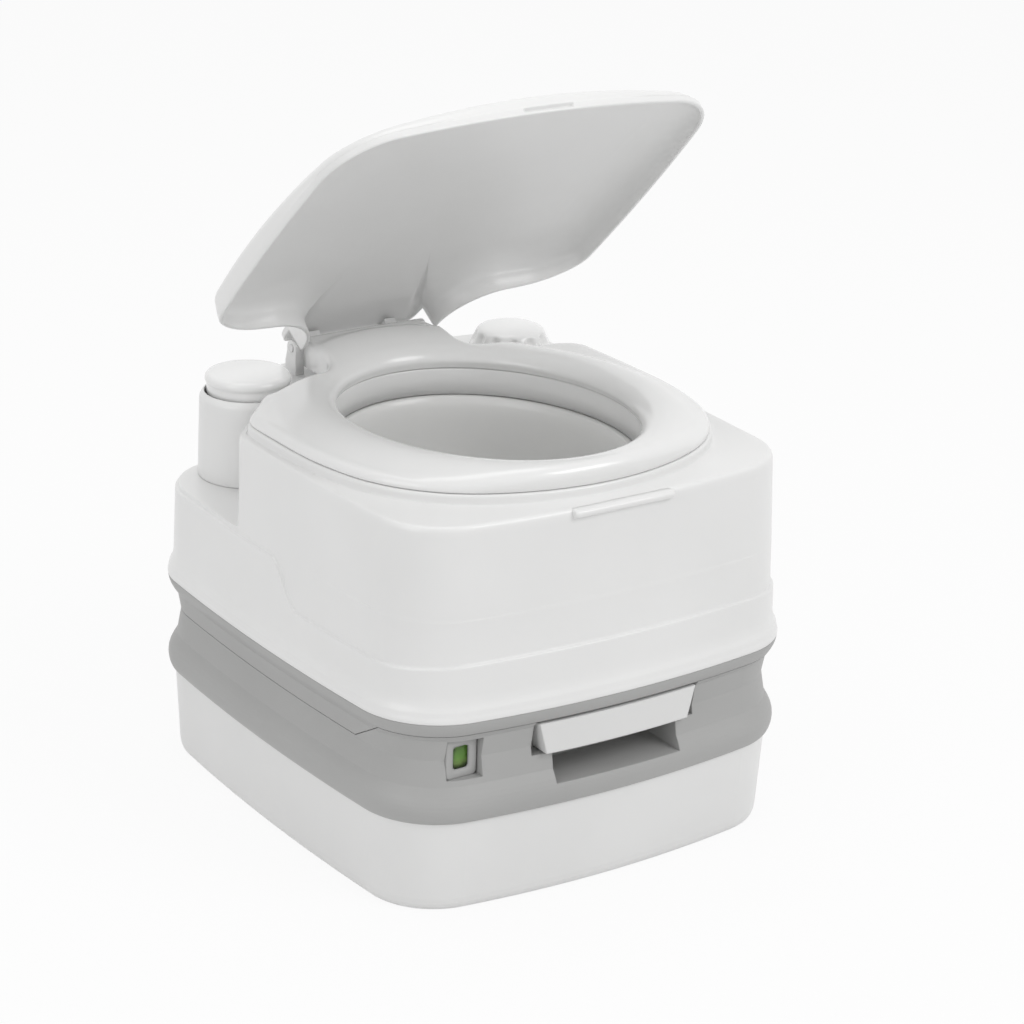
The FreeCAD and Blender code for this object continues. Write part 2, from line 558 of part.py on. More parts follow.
def rear_pocket(z0, z1, grow=0.0):
    """Space round the pump, open to the rear-left corner, whose wall is straight and then round the tower."""
    radius = d.pocket_radius - grow
    px = d.pump_x
    py = d.pump_y
    far_x = -half_x - 30
    far_y = half_y + 30
    corner = Vector(-d.lid_half_width - 6, d.pocket_corner_y + grow, z0)
    start_angle = math.radians(d.pocket_arc_start)
    touch = Vector(px + radius * math.cos(start_angle), py + radius * math.sin(start_angle), z0)
    turn_end = Vector(px + radius, py, z0)
    bottom = Vector(px + radius * math.cos(start_angle / 2), py + radius * math.sin(start_angle / 2), z0)
    edges = [Part.makeLine(Vector(far_x, corner.y, z0), corner), Part.makeLine(corner, touch),
             Part.Arc(touch, bottom, turn_end).toShape(),
             Part.makeLine(turn_end, Vector(turn_end.x, far_y, z0)),
             Part.makeLine(Vector(turn_end.x, far_y, z0), Vector(far_x, far_y, z0)),
             Part.makeLine(Vector(far_x, far_y, z0), Vector(far_x, corner.y, z0))]
    return Part.Face(Part.Wire(edges)).extrude(Vector(0, 0, z1 - z0))


def cutout_wire(side, grow, z0):
    """Plan of the space beside the lid's neck, with a rounded inner corner; it grows towards the front."""
    neck = (d.lid_neck_half + grow) * side
    y = d.cutout_y + grow
    far = 300 * side
    fillet = 24.0
    x_end = neck + fillet * side
    centre = Vector(x_end, y + 4 + fillet, z0)
    bulge = centre + Vector(-side * fillet * math.sqrt(0.5), -fillet * math.sqrt(0.5), 0)
    start = Vector(x_end, y + 4, z0)
    end = Vector(neck, y + 4 + fillet, z0)
    edges = [Part.makeLine(Vector(far, y - 6, z0), start), Part.Arc(start, bulge, end).toShape(),
             Part.makeLine(end, Vector(neck, 400, z0)), Part.makeLine(Vector(neck, 400, z0), Vector(far, 400, z0)),
             Part.makeLine(Vector(far, 400, z0), Vector(far, y - 6, z0))]
    return Part.Wire(edges)


def half_plane(z, low, high):
    """Wide strip at height z between two values of Y, for cutting plans."""
    far = d.overall_width
    corners = [Vector(-far, low, z), Vector(far, low, z), Vector(far, high, z), Vector(-far, high, z)]
    return Part.Face(Part.makePolygon(corners + corners[:1]))


def seat_outline(grow, z):
    """Plan of the seat: large front corners, and a waist at the rear that leaves the pump and filler free."""
    a = d.seat_half_width + grow
    front = d.seat_front_y - grow
    rear = d.hinge_y + grow
    middle = front + d.seat_corner + d.front_bow + 36
    nose = Part.Face(outline(a, middle - front, d.seat_corner, z, middle))
    back = Part.Face(outline(a, rear - middle, 30 + grow, z, middle))
    plan = nose.common(half_plane(z, -half_y, middle)).fuse(back.common(half_plane(z, middle, half_y)))
    waist = d.lid_wall + d.seat_clearance - grow
    for side in (-1, 1):
        plan = plan.cut(Part.Face(cutout_wire(side, -waist, z)))
    neck = d.neck_half_width + grow
    for x0 in (-d.overall_width, neck):
        x1 = x0 + d.overall_width - neck
        corners = [Vector(x0, d.neck_step_y, z), Vector(x1, d.neck_step_y, z), Vector(x1, half_y, z),
                   Vector(x0, half_y, z)]
        plan = plan.cut(Part.Face(Part.makePolygon(corners + corners[:1])))
    return plan.removeSplitter()


def seat_prism(grow, z0, z1):
    return seat_outline(grow, z0).extrude(Vector(0, 0, z1 - z0))


def collar_opening(z0, z1, grow=0.0):
    return elliptic([(z0, d.collar_half_x + grow, d.collar_half_y + grow),
                     (z1, d.collar_half_x + grow, d.collar_half_y + grow)], d.valve_y)


def upper_shell():
    """White outer shell with the seat's plinth, the collar round the bowl and the pump's lower deck."""
    w = d.wall
    shell = stack(SHELL_SECTIONS)
    shell = shell.cut(rear_pocket(d.low_deck_z, d.deck_height + 5))
    inside = stack(SHELL_INSIDE, w)
    inside = inside.cut(rear_pocket(d.low_deck_z - w, d.deck_height + 5, -w))
    shell = shell.cut(inside)
    plinth = seat_prism(-3.0, d.deck_height - 1, d.deck_height + d.plinth_height)
    plinth = plinth.cut(rear_pocket(d.low_deck_z, d.deck_height + 50, -1.0))
    plinth = plinth.cut(block(-400, 400, d.hinge_y - 24, 400, 0, 400))
    hollow = seat_prism(-3.0 - w, d.deck_height - w - 5, d.deck_height + d.plinth_height - w)
    hollow = hollow.cut(block(-400, 400, d.hinge_y - 24 - w, 400, 0, 400))
    shell = shell.fuse(plinth).cut(hollow)
    shell = shell.fuse(collar_opening(d.collar_z, d.deck_height + d.plinth_height, w))
    shell = shell.cut(collar_opening(d.collar_z - 5, d.deck_height + 20))
    shell = shell.cut(rod(d.pump_base_radius - w, 40, (d.pump_x, d.pump_y, d.low_deck_z - 20)))
    shell = shell.cut(rod(d.filler_radius, 40, (d.filler_x, d.filler_y, d.deck_height - 20)))
    shell = shell.cut(block(-16, 16, d.seat_front_y - 5.2, d.seat_front_y - 1.4, d.deck_height - 7,
                            d.deck_height + 20))
    return shell


feature("upper_shell", upper_shell())


def front_catch():
    """Lip on the deck's front edge, under the lid's finger slot."""
    y = -half_y + d.deck_inset
    points = [(-40, y + 4, d.deck_height - 6), (40, y + 4, d.deck_height - 6), (37, y + 4, d.deck_height),
              (-37, y + 4, d.deck_height)]
    lip = prism(points, (0, -7.5, 0))
    return lip.cut(stack(SHELL_SECTIONS))


feature("front_catch", front_catch())

# ---- bowl and flush ----------------------------------------------------------------------------------


def bowl():
    """Oval funnel that narrows to the round outlet, with a rim flange under the deck's collar."""
    inner_x = d.collar_half_x - d.ledge
    inner_y = d.collar_half_y - d.ledge
    r = d.outlet_radius - 2
    shape = [(d.collar_z, inner_x, inner_y), (235.0, inner_x - 1.5, inner_y - 2), (205.0, inner_x - 8, inner_y - 10),
             (180.0, inner_x - 19, inner_y - 24), (158.0, inner_x - 37, inner_y - 45), (144.0, r + 4, r + 7),
             (floor_top, r, r), (floor_low, r, r)]
    w = d.wall
    outer = elliptic([(z, rx + w, ry + w) for z, rx, ry in shape], d.valve_y)
    inner = elliptic([(shape[0][0], inner_x, inner_y)] + shape[1:], d.valve_y)
    flange = elliptic([(d.collar_z - w, d.collar_half_x + w, d.collar_half_y + w),
                       (d.collar_z, d.collar_half_x + w, d.collar_half_y + w)], d.valve_y)
    body = outer.fuse(flange).cut(inner)
    seat_ring = rod(outlet_bore + 4, 3, (0, d.valve_y, floor_top)).cut(
        rod(r + w - 0.5, 3, (0, d.valve_y, floor_top)))
    body = body.fuse(seat_ring)
    return body.cut(rod(3.1, 60, (-d.nozzle_x - 56, d.nozzle_y, d.nozzle_z), (1, 0, 0)))


feature("bowl", bowl())
ring("outlet_seal", "dims.outlet_radius + dims.seal_width", "dims.outlet_radius - 2 + dims.wall",
     "dims.front_seam_z + 2 * dims.parting_gap - dims.channel_top_z + dims.wall - 0.8",
     ("0", "dims.valve_y", "dims.channel_top_z + 0.4"))
nozzle_body = cylinder("nozzle_body", "3", "23.5", ("-dims.nozzle_x - 24", "dims.nozzle_y", "dims.nozzle_z"), ALONG_X)
nozzle_fan = box("nozzle_fan", "4", "22", "7", ("-dims.nozzle_x - 4", "dims.nozzle_y - 11", "dims.nozzle_z - 3.5"))
union("flush_nozzle", [nozzle_body, nozzle_fan])

# ---- pump --------------------------------------------------------------------------------------------

TOWER_BORE = d.pump_disc_radius + 0.8


def pump_tower():
    """Round tower on the lower deck, tapered, with a chamfered shoulder and an open top."""
    centre = Vector(d.pump_x, d.pump_y, d.low_deck_z + 0.2)
    height = d.pump_shoulder_z - centre.z
    tower = Part.makeCone(d.pump_base_radius, d.pump_top_radius, height, centre)
    tower = tower.fuse(Part.makeCone(d.pump_top_radius, TOWER_BORE + 1.4, 2.6,
                                     centre + Vector(0, 0, height)))
    skirt = rod(d.pump_base_radius - d.wall - 0.1, 8, (d.pump_x, d.pump_y, d.low_deck_z - 7))
    tower = tower.fuse(skirt)
    tower = tower.cut(rod(TOWER_BORE, 90, (d.pump_x, d.pump_y, d.low_deck_z - 3.5)))
    return tower.cut(rod(5, 20, (d.pump_x, d.pump_y, d.low_deck_z - 12)))


feature("pump_tower", pump_tower())


def bellows():
    """Corrugated tube between the tower's floor and the disc."""
    bottom = d.low_deck_z - 3.5
    folds = 7
    pitch = (d.pump_disc_z - bottom) / folds
    wide = d.pump_disc_radius - 4.0
    narrow = wide - 5.0
    profile = []
    for fold in range(folds):
        profile.append(Vector(narrow, 0, bottom + fold * pitch))
        profile.append(Vector(wide, 0, bottom + (fold + 0.5) * pitch))
    profile.append(Vector(narrow, 0, d.pump_disc_z))
    inner = [Vector(p.x - 1.6, 0, p.z) for p in reversed(profile)]
    loop = profile + inner + profile[:1]
    solid = Part.Face(Part.makePolygon(loop)).revolve(Vector(), Vector(0, 0, 1), 360)
    solid.translate(Vector(d.pump_x, d.pump_y, 0))
    return solid


feature("pump_bellows", bellows())


def pump_disc():
    """Round push plate with a rolled rim, a shallow dome and a tapered collar below."""
    r = d.pump_disc_radius
    z0 = d.pump_disc_z
    top = d.pump_top_z
    points = [Vector(0, 0, z0), Vector(r - 6, 0, z0), Vector(r - 2.5, 0, z0 + 1.0), Vector(r - 0.4, 0, z0 + 3.0),
              Vector(r, 0, z0 + 4.6), Vector(r - 0.8, 0, z0 + 6.0), Vector(r - 3, 0, z0 + 6.7), Vector(0, 0, top),
              Vector(0, 0, z0)]
    disc = Part.Face(Part.makePolygon(points)).revolve(Vector(), Vector(0, 0, 1), 360)
    disc.translate(Vector(d.pump_x, d.pump_y, 0))
    return disc


feature("pump_disc", pump_disc())
valve_body = cylinder("valve_body", "12", "13", ("dims.pump_x", "dims.pump_y", "dims.low_deck_z - 20"))
valve_bore = cylinder("valve_bore", "5", "13", ("dims.pump_x", "dims.pump_y", "dims.low_deck_z - 20"))
difference("pump_valve", valve_body, valve_bore)


def tube(points, radius, bore):
    """Hose along straight runs joined by tangent arcs."""
    edges = []
    last = points[0]
    for before, corner, after in zip(points, points[1:], points[2:]):
        back = before - corner
        ahead = after - corner
        bend = math.pi - back.getAngle(ahead)
        reach = 0.45 * min(back.Length, ahead.Length)
        size = reach / math.tan(bend / 2)
        back.normalize()
        ahead.normalize()
        start = corner + back * reach
        end = corner + ahead * reach
        inward = back + ahead
        inward.normalize()
        centre = corner + inward * (size / math.cos(bend / 2))
        edges.append(Part.makeLine(last, start))
        edges.append(Part.Arc(start, centre - inward * size, end).toShape())
        last = end
    edges.append(Part.makeLine(last, points[-1]))
    path = Part.Wire(edges)
    direction = points[1] - points[0]
    solids = []
    for size in (radius, bore):
        profile = Part.Wire(Part.makeCircle(size, points[0], direction))
        solids.append(path.makePipeShell([profile], True, False))
    return solids[0].cut(solids[1])


valve_z = d.low_deck_z - 20
feature("suction_tube", rod(7, valve_z - floor_top - 4, (d.pump_x, d.pump_y, floor_top + 4)).cut(
    rod(5, 200, (d.pump_x, d.pump_y, floor_top))))
flush_z = valve_z + 6.5
feature("flush_tube", tube([Vector(d.pump_x + 12.05, d.pump_y, flush_z), Vector(-60, d.pump_y, flush_z + 0.5),
                            Vector(-60, d.pump_y - 39, flush_z + 1), Vector(-113, 60, flush_z + 2),
                            Vector(-113, -20, flush_z + 14), Vector(-114, d.nozzle_y, d.nozzle_z),
                            Vector(-d.nozzle_x - 23, d.nozzle_y, d.nozzle_z)], 4.5, 3.0))

# ---- filler ------------------------------------------------------------------------------------------


def filler_neck():
    """Threaded neck that stands through the deck."""
    place = (d.filler_x, d.filler_y, d.deck_height - 14)
    neck = rod(d.filler_radius - 0.1, 22, place)
    neck = neck.fuse(rod(d.filler_radius + 4, 3, (d.filler_x, d.filler_y, d.deck_height - d.wall - 3.01)))
    for turn in range(2):
        neck = neck.fuse(Part.makeTorus(d.filler_radius - 0.4, 1.2,
                                        Vector(d.filler_x, d.filler_y, d.deck_height + 2.6 + 3.2 * turn)))
    return neck.cut(rod(d.filler_radius - 3, 40, place))


feature("filler_neck", filler_neck())
ring("cap_gasket", "dims.filler_radius + 0.6", "dims.filler_radius - 2.5", "1.8",
     ("dims.filler_x", "dims.filler_y", "dims.deck_height + 8.1"))


def filler_cap():
    """Fluted screw cap with a rounded top edge."""
    r = d.cap_radius
    z0 = d.deck_height + 0.5
    top = d.cap_top_z
    points = [Vector(0, 0, z0), Vector(r - 0.5, 0, z0), Vector(r, 0, z0 + 2), Vector(r - 1.2, 0, top - 6),
              Vector(r - 2.6, 0, top - 3.2), Vector(r - 5.5, 0, top - 1.2), Vector(r - 11, 0, top - 0.3),
              Vector(0, 0, top), Vector(0, 0, z0)]
    cap = Part.Face(Part.makePolygon(points)).revolve(Vector(), Vector(0, 0, 1), 360)
    flutes = 14
    for index in range(flutes):
        angle = 2 * math.pi * index / flutes
        reach = r + 3.6
        cap = cap.cut(Part.makeCone(5.2, 4.0, 10.5, Vector(reach * math.cos(angle), reach * math.sin(angle), z0)))
    cap.translate(Vector(d.filler_x, d.filler_y, 0))
    return cap.cut(rod(d.filler_radius + 1.2, 9.4, (d.filler_x, d.filler_y, z0)))


feature("filler_cap", filler_cap())

# ---- hinge -------------------------------------------------------------------------------------------

bracket_x = d.neck_half_width + d.moving_gap
hinge = Vector(0, d.hinge_y, d.hinge_z)


def hinge_bracket(side):
    """Upright beside the seat's neck, sloping down to the rear, bored for the pin."""
    x0 = bracket_x if side > 0 else -bracket_x - d.bracket_width
    y = d.hinge_y
    r = d.knuckle_radius
    low = d.deck_height + 0.02
    points = [(x0, y - r, low), (x0, y - r, d.hinge_z), (x0, y, d.hinge_z + r * 0.6), (x0, y + r * 0.7, d.hinge_z + 3),
              (x0, y + r + 2.5, low + 8), (x0, y + r + 2.5, low)]
    post = prism(points, (d.bracket_width, 0, 0))
    post = post.fuse(rod(r, d.bracket_width, (x0, y, d.hinge_z), (1, 0, 0)))
    return post.cut(rod(d.pin_radius, 40, (x0 - 5, y, d.hinge_z), (1, 0, 0)))


feature("hinge_bracket_left", hinge_bracket(-1))
feature("hinge_bracket_right", hinge_bracket(1))
pin_length = bracket_x + d.bracket_width + 0.8 - (d.lug_inner_x - 1)
pins = [rod(d.pin_radius, pin_length, (side * (d.lug_inner_x - 1), d.hinge_y, d.hinge_z), (side, 0, 0))
        for side in (-1, 1)]
feature("hinge_pins", Part.makeCompound(pins))
pin_hole = rod(d.pin_radius + d.running_gap, 2 * half_x, (-half_x, d.hinge_y, d.hinge_z), (1, 0, 0))
seat_lug_x = d.lug_inner_x + d.lug_width + d.moving_gap

# ---- seat --------------------------------------------------------------------------------------------

seat_low = d.deck_height + d.plinth_height + d.moving_gap


def seat():
    """Oval seat with a raised rounded ring, a plate outside it and a neck that rises to the hinge."""
    hx = d.seat_hole_half_x
    hy = d.seat_hole_half_y
    crest = d.seat_crest_z
    edge = d.seat_edge_z
    rim = seat_prism(0, seat_low, edge - 2.5)
    rim = rim.fuse(seat_prism(-1.4, edge - 2.5, edge - 0.8)).fuse(seat_prism(-3.6, edge - 0.8, edge))
    ring_up = elliptic([(seat_low, hx + 34, hy + 34), (edge, hx + 34, hy + 34), (edge + 2.6, hx + 26, hy + 26),
                        (crest - 1.2, hx + 17, hy + 17), (crest, hx + 9, hy + 9), (crest - 0.4, hx + 4, hy + 4),
                        (crest - 2.6, hx + 0.5, hy + 0.5)], d.valve_y)
    neck = d.neck_half_width
    rear = d.hinge_y
    slope_start = 78.0
    wedge = prism([(-neck - 14, slope_start, edge - 2.5), (-neck - 14, d.hinge_y - 22, d.seat_rear_z - 1.2),
                   (-neck - 14, rear, d.seat_rear_z), (-neck - 14, rear, edge - 2.5)], (2 * neck + 28, 0, 0))
    wedge = wedge.common(seat_prism(0, seat_low, d.seat_rear_z + 5))
    body = rim.fuse(ring_up.common(seat_prism(0, seat_low, crest + 5))).fuse(wedge)
    hole = elliptic([(seat_low - 1, hx + 5, hy + 2), (crest - 2.6, hx, hy), (crest + 1, hx + 1, hy + 1)], d.valve_y)
    body = body.cut(hole)
    skin = d.wall
    hollow = seat_prism(-skin, seat_low - 1, edge - skin - 1)
    collar = elliptic([(seat_low - 2, hx + 5 + skin, hy + 2 + skin), (edge, hx + skin + 1, hy + skin + 1)], d.valve_y)
    hollow = hollow.cut(collar)
    neck_hollow = prism([(-neck + skin, slope_start + 22, edge - 8),
                         (-neck + skin, slope_start + 22, edge - skin),
                         (-neck + skin, d.hinge_y - 22, d.seat_rear_z - skin - 1.5),
                         (-neck + skin, rear + 5, d.seat_rear_z - skin - 0.2), (-neck + skin, rear + 5, edge - 8)],
                        (2 * (neck - skin), 0, 0))
    neck_hollow = neck_hollow.cut(collar)
    body = body.cut(hollow.cut(collar)).cut(neck_hollow)
    body = body.cut(block(-neck - 20, neck + 20, rear - 8, rear + 20, seat_low - 2, d.hinge_z - 7.5))
    body = body.cut(block(-neck + 6, neck - 6, rear - 8, rear + 20, seat_low - 2, d.seat_rear_z - skin - 0.2))
    lugs = []
    for side in (-1, 1):
        x0 = seat_lug_x if side > 0 else -d.neck_half_width
        lug = block(x0, x0 + d.neck_half_width - seat_lug_x, rear - 14, rear, d.hinge_z - 3, d.seat_rear_z - skin)
        lug = lug.fuse(rod(d.knuckle_radius, d.neck_half_width - seat_lug_x, (x0, rear, d.hinge_z), (1, 0, 0)))
        lugs.append(lug.cut(body).cut(pin_hole).Solids[0])
        body = body.cut(lugs[-1])
    return body.cut(pin_hole), Part.makeCompound(lugs)


seat_ring, seat_lugs = seat()
feature("seat", seat_ring)
feature("seat_lugs", seat_lugs)
buffer_drop = d.moving_gap - 0.15
buffer_places = [(-108.0, -96.0), (108.0, -96.0), (-112.0, 30.0), (112.0, 30.0)]
feature("seat_buffers", Part.makeCompound([
    rod(5, d.seat_edge_z - d.wall - 1 - seat_low + buffer_drop, (x, y, seat_low - buffer_drop))
    for x, y in buffer_places]))

# ---- lid, made closed and then swung open ------------------------------------------------------------


def lid_prism(inset, z0, z1):
    a = d.lid_half_width - inset
    front = d.lid_front_y + inset
    rear = d.hinge_y + d.knuckle_radius + 8 - inset
    plan = Part.Face(outline(a, (rear - front) / 2, d.lid_corner - inset, z0, (rear + front) / 2))
    body = plan.extrude(Vector(0, 0, z1 - z0))
    for side in (-1, 1):
        space = Part.Face(cutout_wire(side, -inset, z0)).extrude(Vector(0, 0, z1 - z0))
        body = body.cut(space)
    return body


def lid():
    """Crowned cover with a skirt and two rear cut-outs, and the two lugs that carry it on the hinge pins."""
    top = d.closed_height
    low = d.lid_rim_z
    centre = Vector(0, d.lid_crown_y, top - d.lid_crown_radius)
    outer = lid_prism(0, low, top + 5).common(Part.makeSphere(d.lid_crown_radius, centre))
    inner = lid_prism(d.lid_wall, low - 1, top + 5).common(
        Part.makeSphere(d.lid_crown_radius - d.lid_wall, centre))
    body = outer.cut(inner)
    body = body.cut(block(-36, 36, d.lid_front_y - 5, d.lid_front_y + 8, low - 1, low + 3.2))
    rear_gap = block(-d.lid_neck_half - 5, d.lid_neck_half + 5, d.hinge_y - 20, 400, low - 20, d.seat_rear_z + 1.2)
    body = body.cut(rear_gap)
    y = d.hinge_y
    lug_top = top - (y + 14 - d.lid_crown_y) ** 2 / (2 * d.lid_crown_radius) - 1.2
    lugs = []
    for side in (-1, 1):
        x0 = d.lug_inner_x if side > 0 else -d.lug_inner_x - d.lug_width
        lug = rod(d.knuckle_radius - 1, d.lug_width, (x0, y, d.hinge_z), (1, 0, 0))
        lug = lug.fuse(block(x0, x0 + d.lug_width, y + 0.8, y + 4.8, d.hinge_z, lug_top))
        lug = lug.fuse(block(x0, x0 + d.lug_width, y + 0.8, y + 11, d.seat_rear_z + 0.5, lug_top))
        lugs.append(lug.cut(body).cut(pin_hole).Solids[0])
    lugs = Part.makeCompound(lugs)
    return [shape.rotate(hinge, Vector(-1, 0, 0), d.lid_open_angle) for shape in (body, lugs)]


cover, lid_lugs = lid()
feature("lid", cover)
feature("lid_lugs", lid_lugs)

# ---- checks and files --------------------------------------------------------------------------------

doc.recompute()
for item in doc.Objects:
    if "Invalid" in item.State or "Error" in item.State:
        raise RuntimeError(f"{item.Name}: {item.State}")
for node in NODES:
    if node.Shape.isNull() or not node.Shape.isValid() or not node.Shape.Solids:
        raise RuntimeError(f"{node.Label}: no valid solid")
os.makedirs("parts", exist_ok=True)
for node in NODES:
    node.Shape.exportStep(f"parts/{node.Label}.step")
    print(f"{node.Label:18s} {len(node.Shape.Solids)} solid(s) {node.Shape.Volume / 1000:9.2f} cm3")
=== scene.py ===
"""Portable toilet: the finished surfaces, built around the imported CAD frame.

The white shell, bowl, seat, lid, pump, filler cap, front catch and level window are modelled here as meshes
over their CAD nodes. The other CAD nodes show as they are, with the materials below.
Lengths are in millimetres in the code and turned into metres when a mesh is made.
"""
import json
import math

import bpy
import numpy as np
from mathutils import Matrix, Vector

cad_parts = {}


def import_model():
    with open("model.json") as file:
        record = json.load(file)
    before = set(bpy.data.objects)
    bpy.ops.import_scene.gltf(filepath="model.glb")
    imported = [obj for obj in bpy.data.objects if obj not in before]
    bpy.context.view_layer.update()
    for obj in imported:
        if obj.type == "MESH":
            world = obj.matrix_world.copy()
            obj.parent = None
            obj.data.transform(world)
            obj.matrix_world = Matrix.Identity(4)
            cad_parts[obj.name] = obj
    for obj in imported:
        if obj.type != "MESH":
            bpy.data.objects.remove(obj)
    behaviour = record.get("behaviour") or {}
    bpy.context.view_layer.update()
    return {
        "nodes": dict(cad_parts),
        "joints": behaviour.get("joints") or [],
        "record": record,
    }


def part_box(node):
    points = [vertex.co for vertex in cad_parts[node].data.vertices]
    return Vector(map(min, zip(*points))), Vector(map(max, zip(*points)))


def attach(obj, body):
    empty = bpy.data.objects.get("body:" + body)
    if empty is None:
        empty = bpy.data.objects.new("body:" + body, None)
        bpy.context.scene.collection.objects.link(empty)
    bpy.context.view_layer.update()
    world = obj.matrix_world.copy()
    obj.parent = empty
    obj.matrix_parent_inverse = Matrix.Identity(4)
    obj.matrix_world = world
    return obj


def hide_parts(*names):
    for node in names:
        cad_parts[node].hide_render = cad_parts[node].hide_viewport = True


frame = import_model()
MM = 0.001


def low(node):
    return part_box(node)[0] / MM


def high(node):
    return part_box(node)[1] / MM


# ---- sizes, read from the frame where a node gives them ---------------------------------------------

HALF_X = high("upper_shell").x
HALF_Y = high("upper_shell").y
FRONT_BOW = 7.9
SIDE_BOW = 4.4
CORNER = 60.0
BAND_TOP = low("upper_shell").z
DECK = high("front_catch").z
SHELL_INSET = 6.2
DECK_INSET = 11.4
STEP = 2.2
LOW_DECK = 207.5
PLINTH = high("upper_shell").z - DECK
COLLAR_X = 102.0
COLLAR_Y = 119.0
COLLAR_LOW = high("bowl").z
LEDGE = 5.0
WALL = 3.0
PUMP = (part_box("pump_disc")[0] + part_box("pump_disc")[1]) / (2 * MM)
FILLER = (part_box("filler_cap")[0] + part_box("filler_cap")[1]) / (2 * MM)
VALVE_Y = -19.0
HINGE = next(joint for joint in frame["joints"] if joint["name"] == "lid_hinge")
HINGE_Y = HINGE["pos_m"][1] / MM
HINGE_Z = HINGE["pos_m"][2] / MM
LID_ANGLE = math.radians(-HINGE["range_deg"][0])
SEAT_LOW = low("seat").z
NECK = 48.6
COLUMNS = 90
SEAT_HALF_X = 150.5
SEAT_FRONT = -161.5
SEAT_CORNER = 112.0
SEAT_HOLE_X = 99.0
SEAT_HOLE_Y = 118.0
SEAT_DECK_MARGIN = 6.5
NECK_STEP_Y = 138.0
LID_HALF_X = 156.0
LID_CORNER = 51.4
LID_SKIN = 2.8
LID_NECK = 57.5
CUTOUT_Y = 89.0
WALL_END = 206.6


# ---- plans -------------------------------------------------------------------------------------------

def sweep(cx, cy, radius, start, end, count):
    """Points along an arc, without its last point."""
    angles = np.linspace(start, end, count, endpoint=False)
    return np.column_stack([cx + radius * np.cos(angles), cy + radius * np.sin(angles)])


def bowed(a, b, radius, shift=0.0, count=COLUMNS):
    """Rounded rectangle with bowed sides: eight arcs of count points each, anticlockwise from the right."""
    cx = a - radius - SIDE_BOW
    cy = b - radius - FRONT_BOW
    end_r = (cx * cx + FRONT_BOW ** 2) / (2 * FRONT_BOW)
    side_r = (cy * cy + SIDE_BOW ** 2) / (2 * SIDE_BOW)
    ta = math.asin(cy / side_r)
    te = math.asin(cx / end_r)
    half = math.pi / 2
    runs = []
    for quarter in range(4):
        turn = quarter * half
        sx = 1 if quarter in (0, 3) else -1
        sy = 1 if quarter in (0, 1) else -1
        lead = ta if quarter % 2 == 0 else te
        trail = te if quarter % 2 == 0 else ta
        runs.append(sweep(sx * cx, sy * cy, radius, turn + lead, turn + half - trail, count))
        if quarter % 2 == 0:
            runs.append(sweep(0, sy * (b - radius - end_r), end_r + radius,
                              turn + half - te, turn + half + te, count))
        else:
            runs.append(sweep(sx * (a - radius - side_r), 0, side_r + radius,
                              turn + half - ta, turn + half + ta, count))
    return np.vstack(runs) + [0, shift]


def inset_plan(step):
    return bowed(HALF_X - step, HALF_Y - step, CORNER - step)


def ray_distance(centre, directions, path):
    """Distance from centre to a path along each direction: the first crossing, or a far value."""
    start = path[:-1] - centre
    step = path[1:] - path[:-1]
    best = np.full(len(directions), 1e4)
    for index, (dx, dy) in enumerate(directions):
        cross = dx * step[:, 1] - dy * step[:, 0]
        cross = np.where(np.abs(cross) < 1e-9, 1e-9, cross)
        along = (start[:, 0] * step[:, 1] - start[:, 1] * step[:, 0]) / cross
        share = (start[:, 0] * dy - start[:, 1] * dx) / cross
        hit = along[(share >= -1e-9) & (share <= 1 + 1e-9) & (along > 0)]
        if len(hit):
            best[index] = hit.min()
    return best


def smooth_min(a, b, reach):
    """The smaller of two values, rounded where they meet."""
    blend = np.clip(0.5 + 0.5 * (b - a) / reach, 0, 1)
    return b + (a - b) * blend - reach * blend * (1 - blend)


def normals(points):
    """Outward unit normals of a closed anticlockwise plan."""
    tangent = np.roll(points, -1, 0) - np.roll(points, 1, 0)
    tangent /= np.linalg.norm(tangent, axis=1)[:, None] + 1e-12
    return np.column_stack([tangent[:, 1], -tangent[:, 0]])


def inward(points, distance):
    return points - normals(points) * distance


def shrink(points, centre, distance):
    """Inset of a closed plan along the rays from its centre, so that points keep their order at corners."""
    arms = points - centre
    reach = np.linalg.norm(arms, axis=1)
    arms = arms / reach[:, None]
    slant = np.clip((arms * normals(points)).sum(1), 0.4, 1)
    padded = np.concatenate([slant[-6:], slant, slant[:6]])
    slant = np.convolve(padded, np.ones(13) / 13, mode="valid")
    return centre + arms * (reach - distance / slant)[:, None]


def ellipse(rx, ry, directions, centre_y=VALVE_Y):
    """Points of an ellipse about the bowl's centre, on the given directions."""
    reach = 1 / np.sqrt((directions[:, 0] / rx) ** 2 + (directions[:, 1] / ry) ** 2)
    return directions * reach[:, None] + [0, centre_y]


def rounded_path(corners, steps=10):
    """Closed polygon with each corner (x, y, radius) rounded by an arc."""
    points = []
    count = len(corners)
    for index in range(count):
        here = np.array(corners[index][:2], float)
        radius = corners[index][2]
        back = np.array(corners[index - 1][:2], float) - here
        ahead = np.array(corners[(index + 1) % count][:2], float) - here
        back /= np.linalg.norm(back)
        ahead /= np.linalg.norm(ahead)
        bend = math.acos(np.clip(back @ ahead, -1, 1))
        reach = radius / math.tan(bend / 2)
        middle = back + ahead
        middle /= np.linalg.norm(middle)
        centre = here + middle * radius / math.sin(bend / 2)
        first = here + back * reach - centre
        last = here + ahead * reach - centre
        a0 = math.atan2(first[1], first[0])
        sweep_angle = math.atan2(last[1], last[0]) - a0
        sweep_angle = (sweep_angle + math.pi) % (2 * math.pi) - math.pi
        for share in np.linspace(0, 1, steps):
            angle = a0 + sweep_angle * share
            points.append(centre + radius * np.array([math.cos(angle), math.sin(angle)]))
    return np.array(points)


# ---- meshes ------------------------------------------------------------------------------------------

